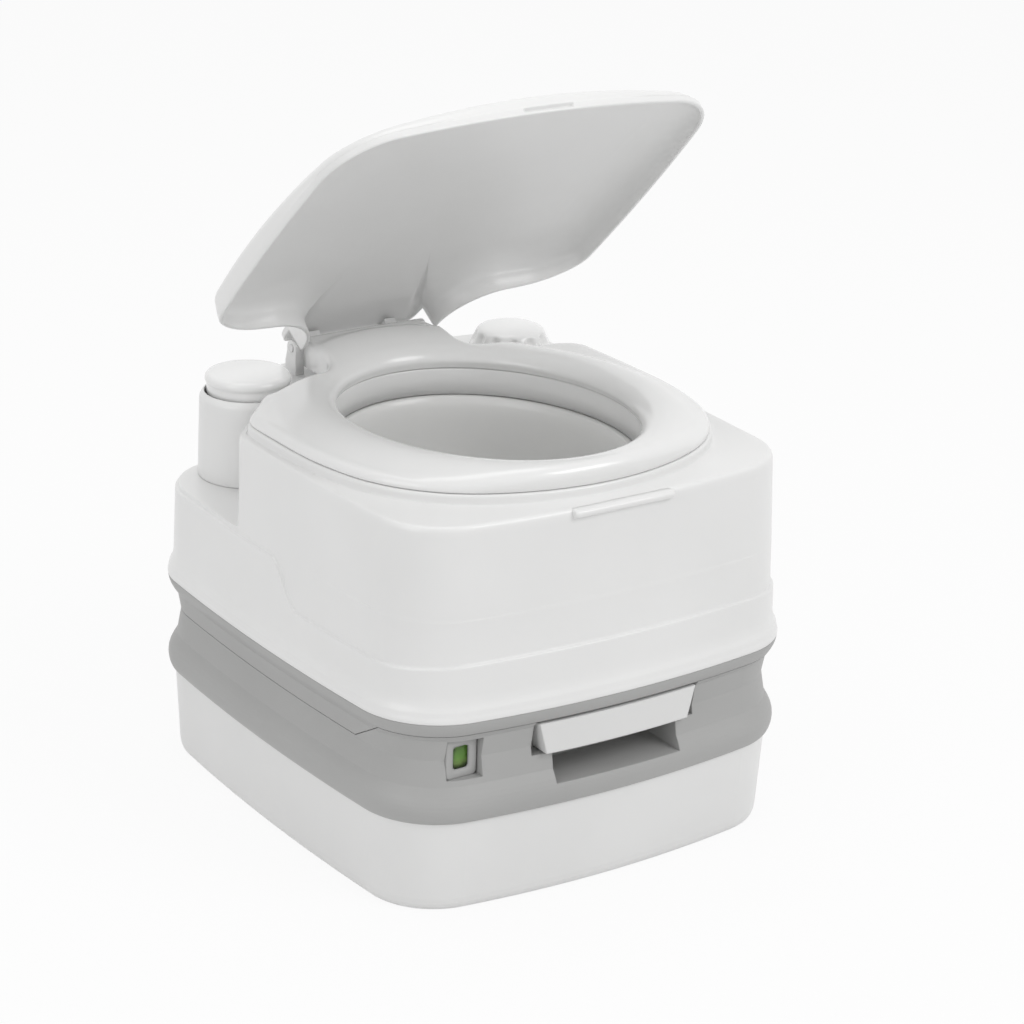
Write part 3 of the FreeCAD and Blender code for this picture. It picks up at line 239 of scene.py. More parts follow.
def mesh_object(name, vertices, faces, body, slot, material, smooth=True):
    data = bpy.data.meshes.new(name)
    data.from_pydata([tuple(v * MM for v in vertex) for vertex in vertices], [], faces)
    data.validate()
    data.update()
    piece = bpy.data.objects.new(name, data)
    bpy.context.scene.collection.objects.link(piece)
    for polygon in data.polygons:
        polygon.use_smooth = smooth
    data.materials.append(material)
    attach(piece, body)
    return piece


def ring_mesh(rows, close_start=False, close_end=False, wrap=False):
    """Vertices and quads through rows of equal length; rows may be joined end to end or capped."""
    rows = [np.asarray(row, float) for row in rows]
    count = len(rows[0])
    vertices = np.vstack(rows)
    faces = []
    pairs = list(zip(range(len(rows) - 1), range(1, len(rows))))
    if wrap:
        pairs.append((len(rows) - 1, 0))
    for a, b in pairs:
        for i in range(count):
            j = (i + 1) % count
            faces.append((a * count + i, a * count + j, b * count + j, b * count + i))
    vertices = [tuple(v) for v in vertices]
    for wanted, row, flip in ((close_start, 0, True), (close_end, len(rows) - 1, False)):
        if wanted:
            centre = rows[row].mean(0)
            vertices.append(tuple(centre))
            tip = len(vertices) - 1
            for i in range(count):
                j = (i + 1) % count
                a = row * count + i
                b = row * count + j
                faces.append((tip, b, a) if flip else (tip, a, b))
    return vertices, faces


def at(points, z):
    """A plan lifted to a height, or to one height for each point."""
    z = np.broadcast_to(z, len(points))
    return np.column_stack([points, z])


def revolve(profile, centre, count=96, shape=None):
    """Rows round an upright axis: profile holds (radius, height), shape(angle, height) adds to the radius."""
    angles = np.linspace(0, 2 * math.pi, count, endpoint=False)
    rows = []
    for radius, z in profile:
        extra = shape(angles, z) if shape else 0.0
        size = radius + extra
        rows.append(np.column_stack([centre[0] + size * np.cos(angles), centre[1] + size * np.sin(angles),
                                     np.full(count, z)]))
    return rows


# ---- materials ---------------------------------------------------------------------------------------

def plastic(name, colour, roughness, grain=0.0, grain_size=900.0, coat=0.0, ripple=0.0, variation=0.02,
            edge=0.0007):
    """Moulded plastic: slight tone variation, fine grain and long ripples in the gloss, softened edges."""
    material = bpy.data.materials.new(name)
    material.use_nodes = True
    tree = material.node_tree
    shader = tree.nodes["Principled BSDF"]
    shader.inputs["Roughness"].default_value = roughness
    shader.inputs["Coat Weight"].default_value = coat
    shader.inputs["Coat Roughness"].default_value = 0.08
    where = tree.nodes.new("ShaderNodeTexCoord")
    cloud = tree.nodes.new("ShaderNodeTexNoise")
    cloud.inputs["Scale"].default_value = 9.0
    cloud.inputs["Detail"].default_value = 3.0
    tree.links.new(where.outputs["Object"], cloud.inputs["Vector"])
    ramp = tree.nodes.new("ShaderNodeValToRGB")
    ramp.color_ramp.elements[0].position = 0.3
    ramp.color_ramp.elements[1].position = 0.7
    ramp.color_ramp.elements[0].color = tuple(c * (1 - variation) for c in colour) + (1,)
    ramp.color_ramp.elements[1].color = tuple(min(1, c * (1 + variation)) for c in colour) + (1,)
    tree.links.new(cloud.outputs["Fac"], ramp.inputs["Fac"])
    tree.links.new(ramp.outputs["Color"], shader.inputs["Base Color"])
    gloss = tree.nodes.new("ShaderNodeMapRange")
    gloss.inputs["To Min"].default_value = roughness * 0.9
    gloss.inputs["To Max"].default_value = roughness * 1.12
    tree.links.new(cloud.outputs["Fac"], gloss.inputs["Value"])
    tree.links.new(gloss.outputs["Result"], shader.inputs["Roughness"])
    bevel = tree.nodes.new("ShaderNodeBevel")
    bevel.samples = 6
    bevel.inputs["Radius"].default_value = edge
    last = bevel.outputs["Normal"]
    for strength, size, depth in ((ripple, 26.0, 0.0006), (grain, grain_size, 0.00012)):
        if strength:
            noise = tree.nodes.new("ShaderNodeTexNoise")
            noise.inputs["Scale"].default_value = size
            noise.inputs["Detail"].default_value = 2.0
            tree.links.new(where.outputs["Object"], noise.inputs["Vector"])
            bump = tree.nodes.new("ShaderNodeBump")
            bump.inputs["Strength"].default_value = strength
            bump.inputs["Distance"].default_value = depth
            tree.links.new(noise.outputs["Fac"], bump.inputs["Height"])
            tree.links.new(last, bump.inputs["Normal"])
            last = bump.outputs["Normal"]
    tree.links.new(last, shader.inputs["Normal"])
    return material


WHITE = plastic("shell_white", (0.80, 0.80, 0.795), 0.32, grain=0.10, ripple=0.06, coat=0.15)
SEAT_WHITE = plastic("seat_white", (0.82, 0.82, 0.815), 0.22, ripple=0.05, coat=0.3)
LID_WHITE = plastic("lid_white", (0.80, 0.80, 0.795), 0.30, grain=0.06, ripple=0.05, coat=0.15)
BOWL_WHITE = plastic("bowl_white", (0.76, 0.76, 0.75), 0.25, ripple=0.05)
PUMP_WHITE = plastic("pump_white", (0.80, 0.80, 0.795), 0.35, grain=0.12)
HANDLE_WHITE = plastic("handle_white", (0.74, 0.74, 0.735), 0.38, grain=0.15, edge=0.0015)
TANK_WHITE = plastic("tank_white", (0.79, 0.79, 0.785), 0.36, grain=0.25, grain_size=1400.0, ripple=0.08,
                     edge=0.0012)
GREY = plastic("tank_grey", (0.40, 0.40, 0.395), 0.48, grain=0.35, grain_size=1400.0, ripple=0.10,
               variation=0.03, edge=0.0012)
DARK = plastic("dark_plastic", (0.045, 0.045, 0.047), 0.5, grain=0.3)
RUBBER = plastic("rubber_black", (0.02, 0.02, 0.02), 0.7, grain=0.4)


def steel():
    material = plastic("steel", (0.6, 0.6, 0.6), 0.3, grain=0.2, grain_size=2500.0)
    material.node_tree.nodes["Principled BSDF"].inputs["Metallic"].default_value = 1.0
    return material


STEEL = steel()


def clear():
    """Thin clear plastic window."""
    material = plastic("clear_window", (0.95, 0.97, 0.96), 0.12, grain=0.05)
    shader = material.node_tree.nodes["Principled BSDF"]
    shader.inputs["Transmission Weight"].default_value = 1.0
    shader.inputs["IOR"].default_value = 1.1
    return material


CLEAR = clear()


def green_drum_with_painted_shading():
    """Indicator drum: green, with a painted highlight making it pale below and painted shade darkening it to near
    black above, by height.
    """
    material = plastic("gauge_green", (0.12, 0.25, 0.03), 0.35, grain=0.1)
    tree = material.node_tree
    shader = tree.nodes["Principled BSDF"]
    where = tree.nodes.new("ShaderNodeTexCoord")
    split = tree.nodes.new("ShaderNodeSeparateXYZ")
    tree.links.new(where.outputs["Object"], split.inputs["Vector"])
    height = tree.nodes.new("ShaderNodeMapRange")
    height.inputs["From Min"].default_value = low("level_drum").z * MM
    height.inputs["From Max"].default_value = high("level_drum").z * MM
    tree.links.new(split.outputs["Z"], height.inputs["Value"])
    # painted highlight and shade: pale green at the bottom of the drum, darkening through green to near black at the
    # top
    ramp = tree.nodes.new("ShaderNodeValToRGB")
    ramp.color_ramp.elements[0].position = 0.10
    ramp.color_ramp.elements[0].color = (0.42, 0.55, 0.22, 1)
    ramp.color_ramp.elements[1].position = 0.86
    ramp.color_ramp.elements[1].color = (0.012, 0.02, 0.008, 1)
    middle = ramp.color_ramp.elements.new(0.45)
    middle.color = (0.10, 0.23, 0.025, 1)
    upper = ramp.color_ramp.elements.new(0.78)
    upper.color = (0.08, 0.18, 0.02, 1)
    tree.links.new(height.outputs["Result"], ramp.inputs["Fac"])
    tree.links.new(ramp.outputs["Color"], shader.inputs["Base Color"])
    return material


GREEN = green_drum_with_painted_shading()
SLOT_MATERIALS = {"tank_grey": GREY, "tank_white": TANK_WHITE, "shell_white": WHITE,
                  "seat_white": SEAT_WHITE, "handle_white": HANDLE_WHITE, "dark_plastic": DARK,
                  "gauge_green": GREEN, "clear": CLEAR, "rubber_black": RUBBER,
                  "bellows_white": PUMP_WHITE, "steel": STEEL}
for part in frame["record"]["subparts"]:
    node = frame["nodes"][part["node"]]
    node.data.materials.clear()
    node.data.materials.append(SLOT_MATERIALS[part["material_slot"]])

# ---- white shell -------------------------------------------------------------------------------------

CENTRE = np.array([0.0, VALVE_Y])
base_plan = inset_plan(0.0)
rays = base_plan - CENTRE
rays /= np.linalg.norm(rays, axis=1)[:, None]
POCKET_RADIUS = 46.0
POCKET_CORNER = (-162.0, 47.0)


def pocket_path(grow=0.0):
    """Boundary of the pump's recess, from the left side wall round the tower to the rear wall."""
    radius = POCKET_RADIUS - grow
    start = math.radians(-113.0)
    touch = (PUMP.x + radius * math.cos(start), PUMP.y + radius * math.sin(start))
    curve = sweep(PUMP.x, PUMP.y, radius, start, 0, 40)
    ends = np.array([(-400, POCKET_CORNER[1] + grow), (POCKET_CORNER[0], POCKET_CORNER[1] + grow), touch])
    tail = np.array([(PUMP.x + radius, PUMP.y), (PUMP.x + radius, 400)])
    return np.vstack([ends, curve[1:], tail])


def top_plan(step, grow=0.0, rounding=9.0):
    """Plan of the tall block: the outline at this inset, less the pump's recess, on the shell's columns."""
    outer = inset_plan(step)
    reach = ray_distance(CENTRE, rays, np.vstack([outer, outer[:1]]))
    pocket = ray_distance(CENTRE, rays, pocket_path(grow))
    return CENTRE + rays * smooth_min(reach, pocket, rounding)[:, None]


def seat_plan(grow, neck_end, waist):
    """Seat outline on the shell's columns: large front corners, cut away beside the neck."""
    a = SEAT_HALF_X + grow
    front = SEAT_FRONT - grow
    middle = front + SEAT_CORNER + FRONT_BOW + 36.0
    rear = neck_end + grow
    nose = bowed(a, middle - front, SEAT_CORNER, middle)
    back = bowed(a, rear - middle, 30.0 + grow, middle)
    outline = np.vstack([back[back[:, 1] > middle], nose[nose[:, 1] <= middle]])
    order = np.argsort(np.arctan2(outline[:, 1] - VALVE_Y, outline[:, 0]))
    outline = outline[order]
    reach = ray_distance(CENTRE, rays, np.vstack([outline, outline[:1]]))
    for side in (-1, 1):
        reach = smooth_min(reach, ray_distance(CENTRE, rays, cutout_path(side, waist - grow)), 30.0)
    step_path = np.array([(NECK + grow, NECK_STEP_Y), (NECK + grow, 400)])
    for side in (-1, 1):
        reach = np.minimum(reach, ray_distance(CENTRE, rays, step_path * [side, 1]))
    deck = np.linalg.norm(top_plan(DECK_INSET) - CENTRE, axis=1) - SEAT_DECK_MARGIN + grow
    return CENTRE + rays * smooth_min(reach, deck, 5.0)[:, None]


def cutout_path(side, margin, fillet=24.0):
    """Edge of the space beside the lid's neck, margin nearer the middle and the front than the lid's edge."""
    neck = LID_NECK - margin
    y = CUTOUT_Y - margin
    curve = sweep(neck + fillet, y + 4 + fillet, fillet, -math.pi / 2, -math.pi, 24)
    path = np.vstack([[(300, y - 6)], curve, [(neck, y + 4 + fillet), (neck, 400)]])
    return path * [side, 1]


def step_height(plan):
    """Height of the line where the upper wall is set back: low in front, high along the rear."""
    y = plan[:, 1]
    share = np.clip((y + 40) / 35, 0, 1)
    share = share * share * (3 - 2 * share)
    return 178.0 - 3.0 * np.clip((y + 191) / 40, 0, 1) + (204.5 - 175.0) * share


def shell():
    rows = []
    edge = step_height(base_plan)

    def wall(z, extra=0.0):
        """Row of the outer wall at height z, set in by extra."""
        z = np.broadcast_to(z, len(base_plan))
        inset = np.interp(z, [BAND_TOP, BAND_TOP + 4, BAND_TOP + 10, BAND_TOP + 17, LOW_DECK, DECK],
                          [0.0, 0.3, 3.0, 4.4, SHELL_INSET, DECK_INSET])
        plans = {step: inset_plan(step) for step in (0.0, DECK_INSET)}
        share = (inset / DECK_INSET)[:, None]
        plan = plans[0.0] * (1 - share) + plans[DECK_INSET] * share
        return at(inward(plan, extra), z)

    rows.append(wall(BAND_TOP, 0.9))
    for z, extra in ((0.1, 0.35), (0.5, 0.08), (1.1, 0.0), (2.2, 0.0), (3.2, 0.15), (4.2, 0.35), (5.4, 0.25),
                     (7.0, -0.35), (8.6, -0.45), (10.4, -0.1), (12.5, 0.1), (15.0, 0.2), (18.0, 0.1)):
        rows.append(wall(BAND_TOP + z, extra))
    start = BAND_TOP + 18
    for share in (0.35, 0.7):
        rows.append(wall(start + (edge - 2.5 - start) * share))
    for dz, extra in ((-2.2, 0.0), (-1.2, 0.0), (-0.6, 0.12), (-0.2, 0.5), (0.1, 1.4), (0.5, 2.1),
                      (1.8, STEP)):
        rows.append(wall(edge + dz, extra))
    high_row = np.maximum(edge + 2.2, WALL_END)
    for share in (0.3, 0.6, 0.9):
        rows.append(wall(edge + 2.2 + (high_row - edge - 2.2) * share, STEP))
    # across the lower deck where the pump's recess is, and up the wall elsewhere
    low_edge = rows[-1][:, :2]
    above = top_plan(np.interp(LOW_DECK + 4, [LOW_DECK, DECK], [SHELL_INSET + STEP, DECK_INSET]))
    gap = np.linalg.norm(low_edge - above, axis=1)
    in_pocket = np.clip((gap - 2.0) / 3.0, 0, 1)
    for share, lift in ((0.0, 0.3), (0.012, 0.7), (0.05, 0.9), (0.3, 0.9), (0.6, 0.9), (0.9, 0.9),
                        (0.97, 1.3), (1.0, 3.0)):
        plan = low_edge * (1 - share) + above * share
        deck_z = WALL_END + lift
        wall_z = WALL_END + 3.4 * share + lift * 0.2
        rows.append(at(plan, in_pocket * deck_z + (1 - in_pocket) * wall_z))
    for z in (216, 230, 244, 256, 264, DECK - 4.2):
        inset = np.interp(z, [LOW_DECK, DECK], [SHELL_INSET + STEP, DECK_INSET])
        rows.append(at(top_plan(inset), z))
    rim = top_plan(DECK_INSET)
    for back, drop in ((0.25, 2.6), (0.75, 1.4), (1.5, 0.6), (2.5, 0.15), (3.8, 0.0)):
        rows.append(at(inward(rim, back), DECK - drop))
    # seat plinth, clipped by the recess
    reach = np.minimum(np.linalg.norm(seat_plan(1.6, 128.0, 4.4) - CENTRE, axis=1),
                       np.linalg.norm(rim - CENTRE, axis=1) - 5.5)
    foot = CENTRE + rays * reach[:, None]
    shoulder = inward(rim, 3.8)
    for share in (0.35, 0.7):
        rows.append(at(shoulder * (1 - share) + foot * share, DECK))
    for back, lift in ((-0.9, 0.0), (-0.3, 0.2), (0.0, 0.8), (0.15, 3.0), (0.3, 5.0), (0.7, 5.9), (1.4, 6.4),
                       (2.4, PLINTH)):
        rows.append(at(inward(foot, back), DECK + lift))
    inner = ellipse(COLLAR_X, COLLAR_Y, rays)
    edge_ring = inward(foot, 2.4)
    for share in (0.3, 0.6, 0.9):
        rows.append(at(edge_ring * (1 - share) + inner * share, DECK + PLINTH))
    for back, drop in ((-1.2, 0.0), (-0.4, 0.35), (0.0, 1.2), (0.0, 8.0),
                       (0.0, PLINTH + DECK - COLLAR_LOW - 0.4)):
        rows.append(at(inward(inner, back), DECK + PLINTH - drop))
    # back along the inside
    collar = ellipse(COLLAR_X + WALL, COLLAR_Y + WALL, rays)
    rows.append(at(collar, COLLAR_LOW + 0.4))
    rows.append(at(collar, DECK - 4.0))
    inside = inward(rim, WALL + 2)
    rows.append(at(inside, DECK - 4.0))
    rows.append(at(inward(top_plan(SHELL_INSET + STEP), WALL + 2), LOW_DECK - 1))
    rows.append(at(inward(top_plan(SHELL_INSET + STEP), WALL + 2), LOW_DECK - 3.4))
    rows.append(wall(LOW_DECK - 4.5, WALL + 2))
    rows.append(wall(BAND_TOP + 12, WALL))
    rows.append(wall(BAND_TOP + 4, WALL))
    rows.append(wall(BAND_TOP, WALL))
    piece = mesh_object("shell", *ring_mesh(rows, wrap=True), "flush_unit", "shell_white", WHITE)
    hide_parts("upper_shell")
    return piece


shell()

# ---- bowl --------------------------------------------------------------------------------------------


def bowl():
    neck_r = 41.0
    top = COLLAR_LOW
    heights = [top, 252, 245, 235, 222, 208, 195, 182, 171, 162, 154, 147, 141, 136, 132, 128]
    stations = [(258, 97, 114), (235, 95.5, 112), (205, 89, 104), (180, 78, 90), (158, 60, 69), (144, 45, 48),
                (132, neck_r, neck_r), (126, neck_r, neck_r)]
    zs = [s[0] for s in stations][::-1]
    smooth_x = np.poly1d(np.polyfit(zs, [s[1] for s in stations][::-1], 4))
    smooth_y = np.poly1d(np.polyfit(zs, [s[2] for s in stations][::-1], 4))
    rows = [at(ellipse(COLLAR_X + WALL, COLLAR_Y + WALL, rays), top - WALL),
            at(ellipse(COLLAR_X + WALL, COLLAR_Y + WALL, rays), top - 0.1),
            at(ellipse(COLLAR_X - LEDGE + 1.0, COLLAR_Y - LEDGE + 1.0, rays), top - 0.1),
            at(ellipse(COLLAR_X - LEDGE + 0.2, COLLAR_Y - LEDGE + 0.2, rays), top - 0.9)]
    for z in heights[1:]:
        rows.append(at(ellipse(smooth_x(z), smooth_y(z), rays), z))
    for z in heights[:0:-1]:
        rows.append(at(ellipse(smooth_x(z) + WALL - 0.5, smooth_y(z) + WALL - 0.5, rays), z))
    piece = mesh_object("bowl_liner", *ring_mesh(rows, wrap=True), "flush_unit", "shell_white", BOWL_WHITE)
    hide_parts("bowl")


bowl()

# ---- seat --------------------------------------------------------------------------------------------


def seat():
    """Seat: a rounded ring round the hole, a nearly flat plate outside it, a neck that climbs to the hinge."""
    hole_x = SEAT_HOLE_X
    hole_y = SEAT_HOLE_Y
    crest = high("seat").z - 6.1
    plate = 286.0
    rear_top = high("seat").z
    outline = seat_plan(0.0, HINGE_Y, 4.4)
    hole = ellipse(hole_x, hole_y, rays)
    width = np.linalg.norm(outline - hole, axis=1)

    def rise(points):
        """Extra height of the rear plate: it climbs smoothly to the hinge, most of all on the neck."""
        y = np.clip((points[:, 1] - 62) / (HINGE_Y - 6 - 62), 0, 1)
        sideways = np.clip(1 - (np.abs(points[:, 0]) - 46) / 62, 0, 1)
        ease = sideways * sideways * (3 - 2 * sideways)
        return (rear_top - plate) * (y * y * (3 - 2 * y)) * ease

    def surface(distance, remain, points):
        """Height of the top, from the distances to the hole's edge and to the outline."""
        bump = np.clip(np.abs(distance - 17.0) / 27.0, 0, 1)
        ring = (crest - plate) * (1 - bump * bump) ** 1.5
        inner = 1 - np.clip(distance / 9.0, 0, 1)
        outer = 1 - np.clip(remain / 8.5, 0, 1)
        lip = -6.6 * (1 - np.sqrt(1 - 0.999 * inner ** 2)) - 6.4 * (1 - np.sqrt(1 - 0.999 * outer ** 2.2))
        return plate + ring + rise(points) * np.clip(distance / 34, 0, 1) + lip

    rows = []
    for inset, drop in ((2.9, 0.0), (2.0, 0.1)):
        rows.append(at(ellipse(hole_x + inset, hole_y + inset * 0.42, rays), SEAT_LOW + drop))
    base_z = surface(np.zeros(len(rays)), width, hole)
    for share in (0.03, 0.3, 0.6, 0.9):
        plan = ellipse(hole_x + 1.9 * (1 - share), hole_y + 0.8 * (1 - share), rays)
        rows.append(at(plan, SEAT_LOW + 0.6 + share * (base_z - 0.4 - SEAT_LOW - 0.6)))
    outward = (outline - hole) / width[:, None]
    steps = np.concatenate([[0, 0.002, 0.006, 0.012, 0.02, 0.03, 0.045, 0.065], np.linspace(0.09, 0.86, 26),
                            [0.89, 0.915, 0.935, 0.955, 0.97, 0.982, 0.991, 0.997, 1.0]])
    for step in steps:
        reach = width * step
        points = hole + outward * reach[:, None]
        rows.append(at(points, np.maximum(surface(reach, width - reach, points), SEAT_LOW + 1.2)))
    rows.append(at(outline, SEAT_LOW + 0.5))
    rows.append(at(shrink(outline, CENTRE, 0.5), SEAT_LOW))
    rows.append(at(shrink(outline, CENTRE, WALL), SEAT_LOW))
    rows.append(at(shrink(outline, CENTRE, WALL + 0.3), SEAT_LOW + 2.5))
    middle = 0.5 * (outline + hole)
    rows.append(at(middle, SEAT_LOW + 2.5))
    rows.append(at(ellipse(hole_x + 8.2, hole_y + 5.4, rays), SEAT_LOW + 2.5))
    rows.append(at(ellipse(hole_x + 8.0, hole_y + 5.2, rays), SEAT_LOW))
    piece = mesh_object("seat_ring_cover", *ring_mesh(rows, wrap=True), "seat_ring", "seat_white", SEAT_WHITE)
    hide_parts("seat")
    return piece


seat()

# ---- lid ---------------------------------------------------------------------------------------------

LID_RIM = 281.3
LID_CROWN = 1100.0
LID_TOP = 313.0
LID_CROWN_Y = 20.0
LID_FRONT = -166.6
FINGER_SLOT = 19.5
LID_FILLET = 32.0


def lid_plan():
    """Lid outline on rays from its own middle, front corners, two rear cut-outs and a neck."""
    middle = np.array([0.0, -20.0])
    angles = np.linspace(0, 2 * math.pi, 16 * COLUMNS, endpoint=False)
    directions = np.column_stack([np.cos(angles), np.sin(angles)])
    rear = HINGE_Y + 12.0
    outer = bowed(LID_HALF_X, (rear - LID_FRONT) / 2, LID_CORNER, (rear + LID_FRONT) / 2)
    reach = ray_distance(middle, directions, np.vstack([outer, outer[:1]]))
    soft = 20.0 + 42.0 * np.clip((np.abs(directions[:, 0]) - 0.36) / 0.15, 0, 1)
    for side in (-1, 1):
        reach = smooth_min(reach, ray_distance(middle, directions, cutout_path(side, 0.0, 44.0)), soft)
    return middle, middle + directions * reach[:, None]


def lid():
    middle, plan = lid_plan()

    def crown(points, skin=0.0):
        radius = LID_CROWN - skin
        flat = points[:, 0] ** 2 + (points[:, 1] - LID_CROWN_Y) ** 2
        return LID_TOP - LID_CROWN + np.sqrt(radius ** 2 - flat)

    def fold(rim):
        """Where the neck passes over the seat, the skirt ends above it."""
        share = np.clip((rim[:, 1] - 140) / 5, 0, 1) * (np.abs(rim[:, 0]) < 66)
        return LID_RIM + (301.0 - LID_RIM) * share * share * (3 - 2 * share)

    rows = []
    bottom = fold(plan)
    top_z = crown(shrink(plan, middle, 9.0))
    rows.append(at(shrink(plan, middle, LID_SKIN), bottom + 0.5))
    rows.append(at(shrink(plan, middle, 2.3), bottom + 0.08))
    rows.append(at(shrink(plan, middle, 1.4), bottom))
    rows.append(at(shrink(plan, middle, 0.5), bottom + 0.08))
    rows.append(at(plan, bottom + 0.7))
    slot = np.clip((FINGER_SLOT - np.abs(plan[:, 0])) / 1.2, 0, 1) * (plan[:, 1] < 0)
    for lift, depth in ((1.9, 0.0), (2.3, 2.2), (4.4, 2.2), (4.8, 0.0)):
        rows.append(at(shrink(plan, middle, 0.2) - normals(plan) * (depth * slot)[:, None], bottom + lift))
    body = np.maximum(top_z - 9.5, bottom + 5.2)
    for share in (0.5, 1.0):
        rows.append(at(shrink(plan, middle, 0.2 + 1.4 * share), (bottom + 5.0) * (1 - share) + body * share))
    for angle in np.radians([15, 30, 45, 60, 75, 90]):
        back = 1.6 + 8.4 * (1 - math.cos(angle))
        points = shrink(plan, middle, back)
        share = math.sin(angle)
        rows.append(at(points, body + (crown(points) - body) * share))
    rim = rows[-1][:, :2]
    for share in (0.06, 0.14, 0.25, 0.4, 0.55, 0.7, 0.85, 0.95):
        points = rim * (1 - share) + middle * share
        rows.append(at(points, crown(points)))
    inner = []
    skin = LID_SKIN
    for share in (0.95, 0.8, 0.6, 0.4, 0.25, 0.14, 0.07, 0.02):
        base = shrink(plan, middle, skin + LID_FILLET)
        points = base * (1 - share) + middle * share
        inner.append(at(points, crown(points, skin)))
    base_z = crown(shrink(plan, middle, skin + LID_FILLET), skin)
    for angle in np.radians([90, 72, 54, 36, 18, 0]):
        back = skin + LID_FILLET * (1 - math.cos(angle))
        depth = np.minimum(15.0, base_z - bottom - 1.0)
        inner.append(at(shrink(plan, middle, back), base_z - depth * (1 - math.sin(angle))))
    vertices, faces = ring_mesh(rows, close_end=True)
    count = len(plan)
    inner_vertices, inner_faces = ring_mesh(inner, close_start=True)
    offset = len(vertices)
    vertices += inner_vertices
    faces += [tuple(i + offset for i in face) for face in inner_faces]
    last = offset + (len(inner) - 1) * count
    for i in range(count):
        j = (i + 1) % count
        faces.append((last + i, last + j, j, i))
    piece = mesh_object("lid_cover", vertices, faces, "cover", "seat_white", LID_WHITE)
    turn = Matrix.Rotation(-LID_ANGLE, 4, "X")
    pivot = Matrix.Translation(Vector((0, HINGE_Y, HINGE_Z)) * MM)
    piece.data.transform(pivot @ turn @ pivot.inverted())
    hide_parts("lid")
    return piece


lid()

# ---- pump --------------------------------------------------------------------------------------------


def pump():
    """Tower with a chamfered shoulder, and a push cap whose neck goes down inside it."""
    foot = LOW_DECK + 0.2
    shoulder = 271.6
    bore = 31.35
    profile = [(31.8, foot + 4), (31.8, shoulder - 8), (bore, shoulder - 6), (bore, shoulder - 1.8),
               (bore + 0.2, shoulder - 1.2), (bore + 0.6, shoulder - 1.0), (bore + 1.1, shoulder - 1.3),
               (33.9, shoulder - 3.4), (34.7, shoulder - 4.8), (35.0, shoulder - 6.6)]
    for share in np.linspace(0.05, 1, 12):
        profile.append((35.0 + 1.3 * share, shoulder - 6.6 + (foot + 1.0 - shoulder + 6.6) * share))
    profile += [(36.15, foot + 0.4), (35.7, foot), (33.2, foot), (33.2, foot - 6), (31.8, foot - 6)]
    tower = mesh_object("pump_body", *ring_mesh(revolve(profile, PUMP), wrap=True), "flush_unit",
                        "shell_white", PUMP_WHITE)
    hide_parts("pump_tower")
    rim = low("pump_disc").z
    profile = [(27.4, rim + 1.0), (27.4, rim - 12.0), (28.2, rim - 12.4), (29.8, rim - 12.0),
               (29.8, rim - 3.0),
               (29.8, rim - 1.2), (30.0, rim - 0.1), (30.6, rim + 0.7), (30.95, rim + 1.8), (31.0, rim + 2.8),
               (30.8, rim + 3.9), (30.3, rim + 5.0), (29.5, rim + 5.9), (28.4, rim + 6.5), (27.0, rim + 6.8),
               (24.0, rim + 6.9), (19, rim + 7.0), (14, rim + 7.15), (8, rim + 7.35), (3, rim + 7.5)]
    rows = revolve(profile, PUMP)
    rows.insert(0, revolve([(6.0, rim + 1.0)], PUMP)[0])
    disc = mesh_object("pump_button", *ring_mesh(rows, True, True), "pump_top", "seat_white", SEAT_WHITE)
    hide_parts("pump_disc")


pump()

# ---- filler cap --------------------------------------------------------------------------------------


def filler_cap():
    low_z = low("filler_cap").z
    top = high("filler_cap").z
    radius = 30.5
    flutes = 12

    def flute(angles, z):
        depth = 2.6 * np.clip((low_z + 12.6 - z) / 3.0, 0, 1) * np.clip((z - low_z - 1.6) / 2.5, 0, 1)
        return -depth * (0.5 + 0.5 * np.cos(flutes * angles)) ** 1.6

    profile = [(25.0, low_z + 8.0), (radius - 3.2, low_z + 0.2), (radius - 0.6, low_z), (radius, low_z + 0.6)]
    for out, lift in ((30.3, 1.8), (29.8, 3.0), (29.0, 4.6), (28.2, 6.2), (27.4, 7.8), (26.7, 9.4),
                      (26.1, 10.8), (25.4, 12.0), (24.4, 13.1), (22.8, 14.1), (20.4, 14.9), (17.2, 15.5), (13.0, 16.0),
                      (8.0, 16.3), (3.0, 16.45)):
        profile.append((out, low_z + lift * (top - low_z) / 16.5))
    rows = revolve(profile, FILLER, flutes * 16, flute)
    rows = [np.array(row) for row in rows]
    cap = mesh_object("cap_shell", *ring_mesh(rows, True, True), "filler_closure", "seat_white", SEAT_WHITE)
    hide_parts("filler_cap")


filler_cap()

# ---- front catch and level window ------------------------------------------------------------------


def front_catch():
    """Lip over the front rim, rounded towards the front and tapered at its ends."""
    box_low = low("front_catch")
    box_high = high("front_catch")
    half = box_high.x
    deep = box_high.y - box_low.y
    tall = box_high.z - box_low.z
    rows = []
    for share, size in ((-1.0, 0.80), (-0.992, 0.90), (-0.975, 0.97), (-0.95, 1.0), (-0.5, 1.0), (0.0, 1.0),
                        (0.5, 1.0), (0.95, 1.0), (0.975, 0.97), (0.992, 0.90), (1.0, 0.80)):
        loop = []
        for y, z in ((1.0, 0.0), (1.0, 0.5), (1.0, 1.0), (0.55, 1.0), (0.3, 0.96), (0.12, 0.85), (0.02, 0.66),
                     (0.0, 0.45), (0.06, 0.25), (0.2, 0.1), (0.4, 0.0)):
            loop.append((half * share, box_high.y - deep * (1 - y) * size,
                         box_low.z + tall * (0.5 + (z - 0.5) * size)))
        rows.append(np.array(loop))
    piece = mesh_object("catch_lip", *ring_mesh(rows, True, True), "flush_unit", "shell_white", WHITE)
    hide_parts("front_catch")


def rounded_frame(low_x, high_x, low_z, high_z, radius, y, count=12):
    """Closed loop in the plane y: a rectangle with rounded corners, as points (x, y, z)."""
    corners = [(low_x, low_z, radius), (high_x, low_z, radius),
               (high_x, high_z, radius), (low_x, high_z, radius)]
    loop = rounded_path(corners, count)
    return np.column_stack([loop[:, 0], np.full(len(loop), y), loop[:, 1]])


